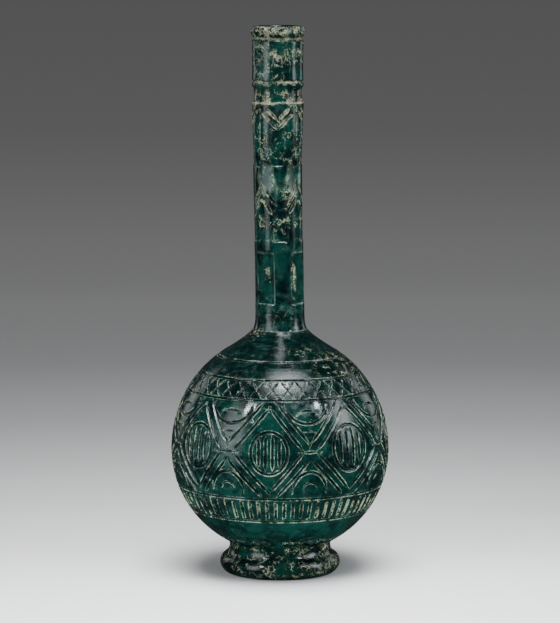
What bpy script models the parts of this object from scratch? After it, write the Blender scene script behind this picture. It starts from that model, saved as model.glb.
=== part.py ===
"""Long-necked bottle of dark green glass: a blown globe and neck on a foot ring, cut on the wheel.

The bottle is one hollow solid. Its outside is a turned profile. Flat facets are ground on the neck, and
grooves are cut into neck and globe: rings, a lattice band, a row of diamonds with barred ovals, crescents
between them, and a row of short flutes. The neck leans a little, as blown glass does.

Lengths are in metres. Angles are in degrees, 0 at the front (-Y) and growing towards +X.
A run is a length measured down the profile, from the upper ring of a zone.
"""

import math
from dataclasses import dataclass

import bmesh
import bpy
import numpy as np
from mathutils import Vector
from mathutils.geometry import delaunay_2d_cdt

MM = 0.001
FULL_TURN = 360.0
HALF_TURN = 180.0

# Globe
BULB_RADIUS = 48.0 * MM
BULB_RISE = 51.0 * MM
BULB_DROP = 46.5 * MM
BULB_WALL = 3.2 * MM
BASE_WALL = 6.2 * MM
SHOULDER_LATITUDE = 62.0
SWEEP_PULL = 0.6
MOUTH_LATITUDE = 73.0
INNER_LATITUDES = (55, 35, 15, -5, -25, -45, -62, -77)

# Foot ring
FOOT_RADIUS = 26.6 * MM
FOOT_ROLL = 4.5 * MM
FOOT_ROLL_START = 65.0
FOOT_GRIND = 0.4 * MM
FOOT_WAIST_RADIUS = 22.3 * MM
FOOT_WAIST_HEIGHT = 12.4 * MM
WAIST_FLARE = 0.6 * MM
WAIST_RISE = 1.2 * MM
FOOT_FLAT_WIDTH = 5.2 * MM
KICK_HEIGHT = 4.6 * MM
KICK_ROUNDNESS = 0.8

# Neck, bottom to top
NECK_WALL = 2.95 * MM
NECK_SWEEP = 3.6 * MM
COLLAR_FOOT_RADIUS = 11.4 * MM
COLLAR_RADIUS = 10.85 * MM
COLLAR_HEIGHT = 10.0 * MM
PANEL_HEIGHT = 22.2 * MM
PANEL_GAP = 5.8 * MM
LOWER_TIER_HEIGHT = 33.0 * MM
UPPER_TIER_HEIGHT = 27.0 * MM
NECK_RADIUS = 10.75 * MM
UPPER_TIER_RADIUS = 11.35 * MM
RECESS_RADIUS = 10.55 * MM
RECESS_HEIGHT = 6.2 * MM
BEAD_RADIUS = 11.45 * MM
BEAD_HEIGHT = 2.2 * MM
BEAD_GROOVE_DEPTH = 0.4 * MM
BEAD_GROOVE_HEIGHT = 0.8 * MM
BAND_RADIUS = 11.3 * MM
BAND_WAIST = 0.15 * MM
BAND_HEIGHT = 17.4 * MM
LIP_GROOVE_DEPTH = 0.7 * MM
LIP_GROOVE_HEIGHT = 1.6 * MM
LIP_RADIUS = 11.8 * MM
LIP_HEIGHT = 4.8 * MM
LIP_ROUNDING = 0.9 * MM
STEP_RUN = 0.3 * MM
NECK_LEAN = 1.0 * MM

# Facets on the neck: four to a tier
FACETS = 4
FACET_RUN_OUT = 2.5 * MM
UPPER_FACET_DEPTH = 0.4 * MM
LOWER_FACET_DEPTH = 0.5 * MM
PANEL_DEPTH = 1.0 * MM
UPPER_TIER_TURN = 0.0
LOWER_TIER_TURN = 6.0
PANEL_TURN = 53.5
LEAST_FACET_HALF = 1.0

# Chevrons on the neck: how far the arms start and end below the tier's top, and how far round
UPPER_CHEVRONS = (
    (2.4 * MM, 11.6 * MM, 45.0, 0.0),
    (2.0 * MM, 7.4 * MM, 29.0, 0.0),
)
LOWER_CHEVRONS = (
    (8.6 * MM, 18.0 * MM, 45.0, 8.0),
    (15.0 * MM, 21.5 * MM, 42.0, 20.0),
)

# Cuts on the globe
SHOULDER_RING = 55.4
COLLAR_RING = 43.5
CROWN_RING = 32.4
GIRDLE_RING = -18.6
BELLY_RING = -33.3
RING_HALF_WIDTH = 0.65 * MM
RING_DEPTH = 0.45 * MM
REPEATS = 8
FRONT_OVAL = -5.7
OVAL_DRIFT = (0.0, 0.3, 0.6, 0.0, 0.0, 0.0, 0.0, 2.2)
OVAL_FALL = (1.2 * MM, 0.2 * MM, 0.0, 0.5 * MM, -0.4 * MM, 0.3 * MM, 0.0, 0.0)
OVAL_GROWTH = (1.0, 1.1, 1.04, 1.0, 1.05, 0.98, 1.03, 1.04)
NODE_DRIFT = (-0.9, 1.6, 0.6, 0.0, 0.0, 0.0, 4.0, -0.3)
NODE_SHARE = 0.52
STRIP_HALF_GAP = 2.0 * MM
LINE_HALF_WIDTH = 0.75 * MM
LINE_DEPTH = 0.55 * MM
OVAL_HALF_WIDTH = 8.0 * MM
OVAL_HALF_HEIGHT = 9.2 * MM
OVAL_BARS = 4
OVAL_BAR_PITCH = 3.0 * MM
OVAL_BAR_MARGIN = 1.6 * MM
CRESCENT_HALF_WIDTH = 9.8 * MM
CRESCENT_DROP = 9.6 * MM
LID_DROP = 6.2 * MM
LID_HALF_WIDTH = 4.2 * MM
LID_RISE = 1.4 * MM
LOW_BAR_DROP = 14.0 * MM
LOW_BAR_HALF_WIDTH = 3.2 * MM
NODE_BAR_HALF_WIDTH = 6.0 * MM
ARCH_HALF_WIDTH = 7.7 * MM
ARCH_RISE = 9.4 * MM
ARCH_FOOT = 3.0 * MM
INNER_ARCH_HALF_WIDTH = 3.6 * MM
INNER_ARCH_RISE = 4.6 * MM
LATTICE_CROSSES = 36
LATTICE_LEAN_SHARE = 0.4
THIN_HALF_WIDTH = 0.5 * MM
THIN_DEPTH = 0.35 * MM
FLUTES = 74
FLUTE_HALF_WIDTH = 0.75 * MM
FLUTE_DEPTH = 0.55 * MM
FLUTE_MARGIN = 1.5 * MM

# Mesh fineness
NECK_SIDES = 24
BULB_SIDES = 32
PROFILE_STEPS = 120
OVAL_STEPS = 14
NECK_FILL_PITCH = 13.0 * MM
BULB_FILL_PITCH = 8.5 * MM
FILL_CLEARANCE = 1.3 * MM
SEAM = FRONT_OVAL - HALF_TURN
WELD = 0.02 * MM

GLASS_COLOUR = (0.012, 0.105, 0.085, 1.0)
GLASS_ROUGHNESS = 0.14

BORE_RADIUS = NECK_RADIUS - NECK_WALL
FOOT_ROLL_HEIGHT = FOOT_ROLL - FOOT_GRIND
WAIST_LATITUDE = math.degrees(math.acos((FOOT_WAIST_RADIUS + WAIST_FLARE) / BULB_RADIUS))
BULB_CENTRE = FOOT_WAIST_HEIGHT + WAIST_RISE + BULB_DROP * math.sin(math.radians(WAIST_LATITUDE))
NECK_FOOT = BULB_CENTRE + BULB_RISE + NECK_SWEEP
PANEL_FOOT = NECK_FOOT + COLLAR_HEIGHT
PANEL_TOP = PANEL_FOOT + PANEL_HEIGHT
LOWER_LEDGE = PANEL_TOP + PANEL_GAP
UPPER_LEDGE = LOWER_LEDGE + LOWER_TIER_HEIGHT
TIER_TOP = UPPER_LEDGE + UPPER_TIER_HEIGHT
RECESS_TOP = TIER_TOP + RECESS_HEIGHT
BEAD_TOP = RECESS_TOP + BEAD_HEIGHT
BAND_FOOT = BEAD_TOP + BEAD_GROOVE_HEIGHT
BAND_TOP = BAND_FOOT + BAND_HEIGHT
LIP_FOOT = BAND_TOP + LIP_GROOVE_HEIGHT
LIP_TOP = LIP_FOOT + LIP_HEIGHT


def bulb_point(latitude, wall=0.0, base_wall=0.0):
    """Radius and height on the globe at a latitude, or on a surface that lies a wall inside it."""
    angle = math.radians(latitude)
    half = BULB_RISE - wall if latitude > 0 else BULB_DROP - base_wall
    return (BULB_RADIUS - wall) * math.cos(angle), BULB_CENTRE + half * math.sin(angle)


def bend(start, corner, end, steps):
    """Points of a smooth bend from start to end, drawn towards a corner; start is left out."""
    points = []
    for i in range(1, steps + 1):
        t = i / steps
        points.append(
            tuple((1 - t) ** 2 * a + 2 * t * (1 - t) * b + t * t * c for a, b, c in zip(start, corner, end))
        )
    return points


def bulb_profile():
    """The globe's outside from the neck's foot down to the waist above the foot ring."""
    shoulder = bulb_point(SHOULDER_LATITUDE)
    neck = (COLLAR_FOOT_RADIUS, NECK_FOOT)
    corner = (COLLAR_FOOT_RADIUS, shoulder[1] + SWEEP_PULL * (NECK_FOOT - shoulder[1]))
    sweep = bend(shoulder, corner, neck, 8)
    fall = (SHOULDER_LATITUDE + WAIST_LATITUDE) / PROFILE_STEPS
    globe = [bulb_point(SHOULDER_LATITUDE - fall * i) for i in range(PROFILE_STEPS + 1)]
    return sweep[::-1] + globe


def tier_profile():
    """The faceted part of the neck, before its facets are ground, from the recess down to the globe."""
    return [
        (UPPER_TIER_RADIUS, TIER_TOP),
        (UPPER_TIER_RADIUS, UPPER_LEDGE + 0.5 * UPPER_TIER_HEIGHT),
        (NECK_RADIUS, UPPER_LEDGE),
        (NECK_RADIUS, PANEL_FOOT),
        (COLLAR_RADIUS, PANEL_FOOT - STEP_RUN),
        (COLLAR_RADIUS, NECK_FOOT + 0.6 * COLLAR_HEIGHT),
        (COLLAR_FOOT_RADIUS, NECK_FOOT),
    ]


def head_profile():
    """The lip, band, bead and recess, from the mouth's inner edge down to the top of the faceted part."""
    groove = BAND_RADIUS - LIP_GROOVE_DEPTH
    bead_groove = BAND_RADIUS - BEAD_GROOVE_DEPTH
    mid = BAND_FOOT + BAND_HEIGHT / 3
    return [
        (BORE_RADIUS + LIP_ROUNDING, LIP_TOP),
        (LIP_RADIUS - LIP_ROUNDING, LIP_TOP),
        (LIP_RADIUS, LIP_TOP - LIP_ROUNDING),
        (LIP_RADIUS, LIP_FOOT + STEP_RUN),
        (groove, LIP_FOOT - STEP_RUN),
        (groove, BAND_TOP + STEP_RUN),
        (BAND_RADIUS, BAND_TOP),
        (BAND_RADIUS - BAND_WAIST, mid),
        (BAND_RADIUS, BAND_FOOT),
        (bead_groove, 0.5 * (BEAD_TOP + BAND_FOOT)),
        (BEAD_RADIUS, BEAD_TOP - STEP_RUN),
        (BEAD_RADIUS, RECESS_TOP + STEP_RUN),
        (RECESS_RADIUS, RECESS_TOP),
        (RECESS_RADIUS, TIER_TOP + STEP_RUN),
        (UPPER_TIER_RADIUS, TIER_TOP),
    ]


def foot_profile():
    """The waist, foot ring, flat and hollow underside, from the globe down and in to the axis."""
    centre = FOOT_RADIUS - FOOT_ROLL
    waist = (FOOT_WAIST_RADIUS, FOOT_WAIST_HEIGHT)
    roll = []
    last = -math.degrees(math.asin(FOOT_ROLL_HEIGHT / FOOT_ROLL))
    for i in range(6):
        angle = math.radians(FOOT_ROLL_START + (last - FOOT_ROLL_START) * i / 5)
        roll.append((centre + FOOT_ROLL * math.cos(angle), FOOT_ROLL_HEIGHT + FOOT_ROLL * math.sin(angle)))
    sweep = bend(waist, (FOOT_WAIST_RADIUS, roll[0][1] + WAIST_RISE), roll[0], 3)
    flat_inner = roll[-1][0] - FOOT_FLAT_WIDTH
    kick = []
    for share in (0.9, 0.55):
        kick.append((flat_inner * share, KICK_HEIGHT * (1 - share * share) ** KICK_ROUNDNESS))
    return [bulb_point(-WAIST_LATITUDE), waist, *sweep, *roll[1:], (flat_inner, 0.0), *kick, (0.0, KICK_HEIGHT)]


def inner_profile():
    """The bore and the hollow of the globe, from the mouth's inner edge down to the axis."""
    top = bulb_point(MOUTH_LATITUDE, BULB_WALL)
    neck = (BORE_RADIUS, NECK_FOOT)
    corner = (BORE_RADIUS, 0.5 * (top[1] + neck[1]))
    lower = BASE_WALL + KICK_HEIGHT - (BULB_CENTRE - BULB_DROP)
    globe = [bulb_point(latitude, BULB_WALL, lower) for latitude in INNER_LATITUDES]
    floor = (0.0, bulb_point(-90.0, BULB_WALL, lower)[1])
    half = (BORE_RADIUS, 0.5 * (LIP_TOP + neck[1]))
    return [
        (BORE_RADIUS + LIP_ROUNDING, LIP_TOP),
        (BORE_RADIUS, LIP_TOP - LIP_ROUNDING),
        half,
        neck,
        *bend(neck, corner, top, 3),
        *globe,
        floor,
    ]


@dataclass
class Cut:
    """One stroke of the cutting wheel: a path in degrees and runs, deepest along its middle."""

    path: list
    half_width: float
    depth: float
    closed: bool = False
    tip: float = 0.18

    def taper(self, share):
        """How wide and deep the stroke is, from 0 to 1, at a share of its length."""
        if self.closed or self.tip == 0:
            return np.ones_like(share)
        return np.clip(np.minimum(share, 1 - share) / self.tip, 0, 1)


@dataclass
class Facet:
    """A flat ground on the neck, from a top height down to a ledge, leaning in by a depth."""

    angle: float
    top: float
    ledge: float
    top_distance: float
    ledge_distance: float

    def distance(self, z):
        """How far the flat lies from the axis at a height."""
        share = (self.top - z) / (self.top - self.ledge)
        return self.top_distance + (self.ledge_distance - self.top_distance) * share


class Zone:
    """A turned band of the outside, unrolled as angle across and run down, with what is cut into it."""

    def __init__(self, profile, upper_sides, lower_sides, fill_pitch):
        steps = np.hypot(*np.diff(np.array(profile), axis=0).T)
        self.runs = np.concatenate([[0.0], np.cumsum(steps)])
        self.radii, self.heights = np.array(profile).T
        self.length = self.runs[-1]
        self.across = float(self.radii.max())
        self.upper_sides, self.lower_sides, self.fill_pitch = upper_sides, lower_sides, fill_pitch
        self.cuts, self.rings, self.facets, self.lines = [], [], [], []

    def radius(self, run):
        return np.interp(run, self.runs, self.radii)

    def height(self, run):
        return np.interp(run, self.runs, self.heights)

    def run_at(self, z):
        return float(np.interp(-z, -self.heights, self.runs))

    def place(self, angle, run, across=0.0, down=0.0):
        """A point of the unrolled zone, moved across and down by lengths on the surface."""
        at = run + down
        return angle + math.degrees(across / float(self.radius(at))), at

    def cut(self, path, half_width, depth, closed=False, tip=0.18):
        self.cuts.append(Cut(path, half_width, depth, closed, tip))

    def ring(self, run, half_width, depth):
        self.rings.append((run, half_width, depth))

    def facet(self, facet, square=False):
        """Adds a flat and the lines where it runs out, at its sides and at its ledges."""
        self.facets.append(facet)
        stations = (0.0, 1.0) if square else (0.0, 0.12, 0.3, 0.6, 1.0)
        sides = []
        for share in stations:
            z = facet.top + (facet.ledge - facet.top) * share
            run = self.run_at(z)
            reach = facet.distance(z) / float(self.radius(run))
            sides.append((math.degrees(math.acos(min(1.0, reach))), run))
        for sign in (-1, 1):
            self.lines.append([(facet.angle + sign * half, run) for half, run in sides])
        for (half, run), step in ((sides[0], -STEP_RUN), (sides[-1], STEP_RUN)):
            if half < LEAST_FACET_HALF:
                continue
            shares = (-1.0, -0.5, 0.0, 0.5, 1.0)
            self.lines.append([(facet.angle + half * s, run) for s in shares])
            self.lines.append([(facet.angle + half * s, run + (step if abs(s) < 1 else 0)) for s in shares])

    def edges_of(self, cut):
        """The two outer edges and the middle of a cut, as lines of the unrolled zone."""
        points = np.array(cut.path)
        radii = self.radius(points[:, 1])
        flat = np.stack([np.radians(points[:, 0]) * radii.mean(), points[:, 1]], axis=1)
        if cut.closed:
            along = np.roll(flat, -1, axis=0) - np.roll(flat, 1, axis=0)
            share = np.full(len(flat), 0.5)
        else:
            along = np.gradient(flat, axis=0)
            run = np.concatenate([[0.0], np.cumsum(np.hypot(*np.diff(flat, axis=0).T))])
            share = run / run[-1]
        along /= np.hypot(*along.T)[:, None]
        width = cut.half_width * cut.taper(share)
        sides = []
        for sign in (-1, 0, 1):
            across = np.degrees(-along[:, 1] * width * sign / radii)
            line = list(zip(points[:, 0] + across, points[:, 1] + along[:, 0] * width * sign))
            sides.append(line + line[:1] if cut.closed else line)
        return sides

    def depth_at(self, angles, runs):
        """Depth of the cuts, and clearance to the nearest one, at points of the unrolled zone."""
        depth = np.zeros(len(angles))
        clear = np.full(len(angles), 1.0)
        radii = self.radius(runs)
        for run, half_width, deepest in self.rings:
            away = np.abs(runs - run)
            depth = np.maximum(depth, deepest * (1 - away / half_width))
            clear = np.minimum(clear, away - half_width)
        for cut in self.cuts:
            path = cut.path + cut.path[:1] if cut.closed else cut.path
            centre = path[0][0]
            x = np.radians((angles - centre + HALF_TURN) % FULL_TURN - HALF_TURN) * radii
            ends = [(math.radians(a - centre) * float(self.radius(s)), s) for a, s in path]
            total = sum(math.dist(a, b) for a, b in zip(ends, ends[1:]))
            nearest, share, gone = np.full(len(angles), 1.0), np.zeros(len(angles)), 0.0
            for (ax, ay), (bx, by) in zip(ends, ends[1:]):
                size = math.dist((ax, ay), (bx, by))
                t = ((x - ax) * (bx - ax) + (runs - ay) * (by - ay)) / size**2
                t = np.clip(t, 0, 1)
                away = np.hypot(x - ax - t * (bx - ax), runs - ay - t * (by - ay))
                share = np.where(away < nearest, (gone + t * size) / total, share)
                nearest = np.minimum(nearest, away)
                gone += size
            taper = cut.taper(share)
            fall = np.clip(1 - nearest / np.maximum(cut.half_width * taper, 1e-9), 0, 1)
            depth = np.maximum(depth, cut.depth * taper * fall)
            clear = np.minimum(clear, nearest - cut.half_width)
        return depth, clear

    def fill(self):
        """Points spread over the uncut surface, so that it keeps its curve."""
        rows = max(1, round(self.length / self.fill_pitch))
        angles, runs = [], []
        for row in range(1, rows):
            run = self.length * row / rows
            sides = self.upper_sides if self.radius(run) < 0.5 * self.across else self.lower_sides
            for k in range(sides):
                angles.append(SEAM + FULL_TURN * (k + 0.25 + 0.5 * (row % 2)) / sides)
                runs.append(run)
        angles, runs = np.array(angles), np.array(runs)
        keep = self.depth_at(angles, runs)[1] > FILL_CLEARANCE
        return list(zip(angles[keep], runs[keep]))

    def ring_line(self, run, sides):
        return [(SEAM + FULL_TURN * k / sides, run) for k in range(sides + 1)]

    def build(self, bm):
        """Triangulates the unrolled zone between its cuts and adds it, rolled up, to a mesh."""
        sheet = Sheet(self.across)
        sheet.line(self.ring_line(0.0, self.upper_sides))
        sheet.line(self.ring_line(self.length, self.lower_sides))
        for run, half_width, _ in self.rings:
            for side in (-half_width, 0.0, half_width):
                sheet.line(self.ring_line(run + side, self.lower_sides))
        for cut in self.cuts:
            for line in self.edges_of(cut):
                sheet.line(line)
        for line in self.lines:
            sheet.line(line)
        for point in self.fill():
            sheet.point(point)
        points, faces = sheet.triangles(self.length)
        angles, runs = points[:, 0], points[:, 1]
        depth = self.depth_at(angles, runs)[0]
        radii, heights = self.radius(runs), self.height(runs)
        for facet in self.facets:
            turn = np.radians((angles - facet.angle + HALF_TURN) % FULL_TURN - HALF_TURN)
            inside = (heights <= facet.top + WELD) & (heights >= facet.ledge - WELD) & (np.abs(turn) < 1.0)
            flat = facet.distance(heights) / np.cos(np.where(inside, turn, 0.0))
            radii = np.where(inside, np.minimum(radii, flat), radii)
        slope = 0.5 * MM
        fall = self.height(runs + slope) - self.height(runs - slope)
        grow = self.radius(runs + slope) - self.radius(runs - slope)
        size = np.hypot(fall, grow)
        radii = radii + depth * fall / size
        heights = heights - depth * grow / size
        verts = [bm.verts.new(rolled(a, r, z)) for a, r, z in zip(angles, radii, heights)]
        for face in faces:
            bm.faces.new([verts[i] for i in face])


class Sheet:
    """Points and lines on an unrolled zone, cut where it is sewn together at the back."""

    def __init__(self, across):
        self.across = across
        self.points, self.index, self.edges = [], {}, []

    def point(self, at):
        """The number of a point, the same for points that lie on one another."""
        key = (round(at[0] * 1e4), round(at[1] / WELD))
        if key not in self.index:
            self.index[key] = len(self.points)
            self.points.append(at)
        return self.index[key]

    def line(self, path):
        """Adds a line, and the part of it that comes back in over the seam."""
        low, high = SEAM, SEAM + FULL_TURN
        for shift in (-FULL_TURN, 0.0, FULL_TURN):
            for (a, s), (b, t) in zip(path, path[1:]):
                a_in, b_in = a + shift, b + shift
                if max(a_in, b_in) < low - 1e-7 or min(a_in, b_in) > high + 1e-7:
                    continue
                ends = []
                for (angle, run), (other, other_run) in (((a_in, s), (b_in, t)), ((b_in, t), (a_in, s))):
                    edge = min(max(angle, low), high)
                    if edge != angle and other != angle:
                        run += (other_run - run) * (edge - angle) / (other - angle)
                    ends.append(self.point((edge, run)))
                if ends[0] != ends[1]:
                    self.edges.append(tuple(ends))

    def triangles(self, length):
        """Triangles over the whole sheet that keep every line as an edge."""
        for side in (SEAM, SEAM + FULL_TURN):
            column = sorted((p[1], i) for i, p in enumerate(self.points) if abs(p[0] - side) < 1e-6)
            self.edges += [(a[1], b[1]) for a, b in zip(column, column[1:])]
        scale = math.radians(1.0) * self.across / MM
        flat = [Vector(((a - SEAM) * scale, s / MM)) for a, s in self.points]
        points, _, faces, *_ = delaunay_2d_cdt(flat, self.edges, [], 0, 1e-4)
        found = np.array([(p.x / scale + SEAM, p.y * MM) for p in points])
        found[:, 1] = np.clip(found[:, 1], 0.0, length)
        return found, faces


def rolled(angle, radius, z):
    """A point of the bottle from its angle, radius and height, moved by the lean of the neck."""
    turn = math.radians(angle)
    share = min(max((z - NECK_FOOT) / (UPPER_LEDGE - NECK_FOOT), 0.0), 1.0)
    lean = NECK_LEAN * share * share * (3 - 2 * share)
    return radius * math.sin(turn) - lean, -radius * math.cos(turn), z


def between(start, end, shares):
    """Points at shares of the way from start to end."""
    return [tuple(a + (b - a) * t for a, b in zip(start, end)) for t in shares]


def curve_points(zone, centre, run, half_width, rise, first, last, steps):
    """Points of an ellipse about a centre, from a first to a last turn; 0 points right, 90 down."""
    points = []
    for i in range(steps + 1):
        turn = math.radians(first + (last - first) * i / steps)
        points.append(zone.place(centre, run, half_width * math.cos(turn), rise * math.sin(turn)))
    return points


def cut_diamonds(zone, crown, girdle):
    """The strips that cross at the nodes: each is a pair of lines beside the strip's own middle."""
    node_run = crown + NODE_SHARE * (girdle - crown)
    width = math.radians(HALF_TURN / REPEATS) * float(zone.radius(node_run))
    stations = (0.0, 0.14, 0.86, 1.0)
    for oval, node, next_oval in pattern_angles():
        for side, apex in ((-1, oval), (1, next_oval)):
            for end_run, lean in ((crown, 1), (girdle, -1)):
                tall = abs(end_run - node_run)
                slant = math.hypot(width, tall)
                down = STRIP_HALF_GAP * slant / width * lean
                across = STRIP_HALF_GAP * slant / tall
                inner_apex = (apex, end_run + down)
                inner_corner = zone.place(node, node_run, across * side)
                outer_end = zone.place(apex, end_run + RING_HALF_WIDTH * lean, -across * side)
                outer_tip = (node, node_run - down)
                zone.cut(between(inner_apex, inner_corner, stations), LINE_HALF_WIDTH, LINE_DEPTH)
                zone.cut(between(outer_end, outer_tip, stations), LINE_HALF_WIDTH, LINE_DEPTH)


def cut_ovals(zone, crown, girdle):
    """An oval in each diamond, with upright bars inside it."""
    for k, (oval, _, _) in enumerate(pattern_angles()):
        run = crown + 0.5 * (girdle - crown) + OVAL_FALL[k % len(OVAL_FALL)]
        growth = OVAL_GROWTH[k % len(OVAL_GROWTH)]
        half_width, half_height = OVAL_HALF_WIDTH * growth, OVAL_HALF_HEIGHT * growth
        outline = curve_points(zone, oval, run, half_width, half_height, 0, FULL_TURN, OVAL_STEPS)[:-1]
        zone.cut(outline, LINE_HALF_WIDTH, LINE_DEPTH, closed=True)
        for bar in range(OVAL_BARS):
            across = (bar - 0.5 * (OVAL_BARS - 1)) * OVAL_BAR_PITCH * growth
            share = across / (half_width - LINE_HALF_WIDTH)
            reach = (half_height - OVAL_BAR_MARGIN) * math.sqrt(max(0.05, 1 - share * share))
            ends = [zone.place(oval, run, across, d) for d in (-reach, reach)]
            zone.cut(ends, LINE_HALF_WIDTH, LINE_DEPTH, tip=0)


def cut_crescents(zone, crown, girdle):
    """Hanging crescents under the crown ring, arches over the girdle ring, and a bar at each node."""
    node_run = crown + NODE_SHARE * (girdle - crown)
    for _, node, _ in pattern_angles():
        hang = crown + 1.6 * RING_HALF_WIDTH
        crescent = curve_points(zone, node, hang, CRESCENT_HALF_WIDTH, CRESCENT_DROP, 8, 172, 5)
        zone.cut(crescent, LINE_HALF_WIDTH, LINE_DEPTH)
        lid = curve_points(zone, node, crown + LID_DROP, LID_HALF_WIDTH, LID_RISE, 200, 340, 3)
        zone.cut(lid, LINE_HALF_WIDTH, LINE_DEPTH, tip=0.33)
        low_bar = [zone.place(node, crown + LOW_BAR_DROP, LOW_BAR_HALF_WIDTH * side) for side in (-1, 0, 1)]
        zone.cut(low_bar, THIN_HALF_WIDTH, THIN_DEPTH, tip=0.5)
        arch_run = girdle - ARCH_FOOT
        arch = curve_points(zone, node, arch_run, ARCH_HALF_WIDTH, ARCH_RISE, 180, 360, 5)
        zone.cut(arch, LINE_HALF_WIDTH, LINE_DEPTH)
        inner = curve_points(zone, node, arch_run, INNER_ARCH_HALF_WIDTH, INNER_ARCH_RISE, 205, 335, 3)
        zone.cut(inner, THIN_HALF_WIDTH, THIN_DEPTH, tip=0.33)
        middle = [zone.place(node, node_run, NODE_BAR_HALF_WIDTH * side) for side in (-1, 0, 1)]
        zone.cut(middle, LINE_HALF_WIDTH, LINE_DEPTH, tip=0.5)


def cut_lattice(zone, top, bottom):
    """A band of crossed strokes between two rings."""
    pitch = FULL_TURN / LATTICE_CROSSES
    lean = LATTICE_LEAN_SHARE * pitch
    high, low = top + 1.4 * RING_HALF_WIDTH, bottom - 1.4 * RING_HALF_WIDTH
    for k in range(LATTICE_CROSSES):
        centre = SEAM + pitch * (k + 0.5)
        for side in (-1, 1):
            ends = [(centre - side * lean, low), (centre + side * lean, high)]
            zone.cut(ends, THIN_HALF_WIDTH, THIN_DEPTH, tip=0)


def cut_flutes(zone, top, bottom):
    """A row of short upright strokes between two rings."""
    pitch = FULL_TURN / FLUTES
    for k in range(FLUTES):
        angle = SEAM + pitch * (k + 0.5)
        ends = [(angle, top + FLUTE_MARGIN), (angle, bottom - FLUTE_MARGIN)]
        zone.cut(ends, FLUTE_HALF_WIDTH, FLUTE_DEPTH, tip=0)


def pattern_angles():
    """For each repeat: the angle of its oval, of the node after it, and of the next oval."""
    pitch = FULL_TURN / REPEATS
    ovals = [FRONT_OVAL + pitch * k + OVAL_DRIFT[k % len(OVAL_DRIFT)] for k in range(REPEATS)]
    nodes = [FRONT_OVAL + pitch * (k + 0.5) + NODE_DRIFT[k % len(NODE_DRIFT)] for k in range(REPEATS)]
    after = ovals[1:] + [ovals[0] + FULL_TURN]
    return list(zip(ovals, nodes, after))


def bulb_zone():
    """The globe with everything that is cut into it."""
    zone = Zone(bulb_profile(), NECK_SIDES, BULB_SIDES, BULB_FILL_PITCH)
    latitudes = (SHOULDER_RING, COLLAR_RING, CROWN_RING, GIRDLE_RING, BELLY_RING)
    rings = [zone.run_at(bulb_point(latitude)[1]) for latitude in latitudes]
    for run in rings:
        zone.ring(run, RING_HALF_WIDTH, RING_DEPTH)
    _, collar, crown, girdle, belly = rings
    cut_lattice(zone, collar, crown)
    cut_diamonds(zone, crown, girdle)
    cut_ovals(zone, crown, girdle)
    cut_crescents(zone, crown, girdle)
    cut_flutes(zone, girdle, belly)
    return zone


def cut_chevrons(zone, centre, top, chevrons):
    """Pairs of slanting strokes that point down at the middle of a facet."""
    for start_drop, tip_drop, start_angle, tip_angle in chevrons:
        for side in (-1, 1):
            start = (centre + side * start_angle, zone.run_at(top - start_drop))
            tip = (centre + side * tip_angle, zone.run_at(top - tip_drop))
            zone.cut(between(start, tip, (0.0, 0.2, 0.8, 1.0)), LINE_HALF_WIDTH, LINE_DEPTH, tip=0.2)


def neck_zone():
    """The faceted part of the neck, with the chevrons on its two upper tiers."""
    zone = Zone(tier_profile(), NECK_SIDES, NECK_SIDES, NECK_FILL_PITCH)
    panel_distance = NECK_RADIUS - PANEL_DEPTH
    for k in range(FACETS):
        turned = FULL_TURN / FACETS * k
        upper = UPPER_TIER_TURN + turned
        lower = LOWER_TIER_TURN + turned
        upper_foot = NECK_RADIUS - UPPER_FACET_DEPTH
        lower_foot = NECK_RADIUS - LOWER_FACET_DEPTH
        zone.facet(Facet(upper, TIER_TOP - FACET_RUN_OUT, UPPER_LEDGE, UPPER_TIER_RADIUS, upper_foot))
        zone.facet(Facet(lower, UPPER_LEDGE - FACET_RUN_OUT, LOWER_LEDGE, NECK_RADIUS, lower_foot))
        cut_chevrons(zone, upper, TIER_TOP, UPPER_CHEVRONS)
        cut_chevrons(zone, lower, UPPER_LEDGE, LOWER_CHEVRONS)
        panel_foot = PANEL_FOOT + 2 * STEP_RUN
        zone.facet(
            Facet(PANEL_TURN + turned, PANEL_TOP, panel_foot, panel_distance, panel_distance), square=True
        )
    return zone


def turn(bm, profile, sides):
    """Adds the surface that a profile turned about the axis makes, with flat facets round it."""
    rows = []
    for radius, z in profile:
        if radius == 0.0:
            rows.append([bm.verts.new((0.0, 0.0, z))])
        else:
            rows.append([bm.verts.new(rolled(SEAM + FULL_TURN * k / sides, radius, z)) for k in range(sides)])
    for upper, lower in zip(rows, rows[1:]):
        for k in range(sides):
            after = (k + 1) % sides
            corners = [upper[k], upper[after], lower[after % len(lower)], lower[k % len(lower)]]
            bm.faces.new(corners if len(lower) > 1 else corners[:3])


def glass():
    """Dark green bottle glass."""
    material = bpy.data.materials.new("green_glass")
    material.use_nodes = True
    shader = material.node_tree.nodes["Principled BSDF"]
    shader.inputs["Base Color"].default_value = GLASS_COLOUR
    shader.inputs["Roughness"].default_value = GLASS_ROUGHNESS
    shader.inputs["Metallic"].default_value = 0.0
    material.diffuse_color = GLASS_COLOUR
    return material


def bottle():
    """The whole bottle as one closed solid."""
    bm = bmesh.new()
    turn(bm, head_profile(), NECK_SIDES)
    neck_zone().build(bm)
    bulb_zone().build(bm)
    turn(bm, foot_profile(), BULB_SIDES)
    turn(bm, inner_profile(), NECK_SIDES)
    bmesh.ops.remove_doubles(bm, verts=bm.verts, dist=WELD)
    bmesh.ops.triangulate(bm, faces=bm.faces)
    bmesh.ops.recalc_face_normals(bm, faces=bm.faces)
    mesh = bpy.data.meshes.new("bottle")
    bm.to_mesh(mesh)
    bm.free()
    mesh.shade_smooth()
    mesh.set_sharp_from_angle(angle=math.radians(25.0))
    body = bpy.data.objects.new("bottle", mesh)
    bpy.context.scene.collection.objects.link(body)
    body.data.materials.append(glass())
    return body


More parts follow.
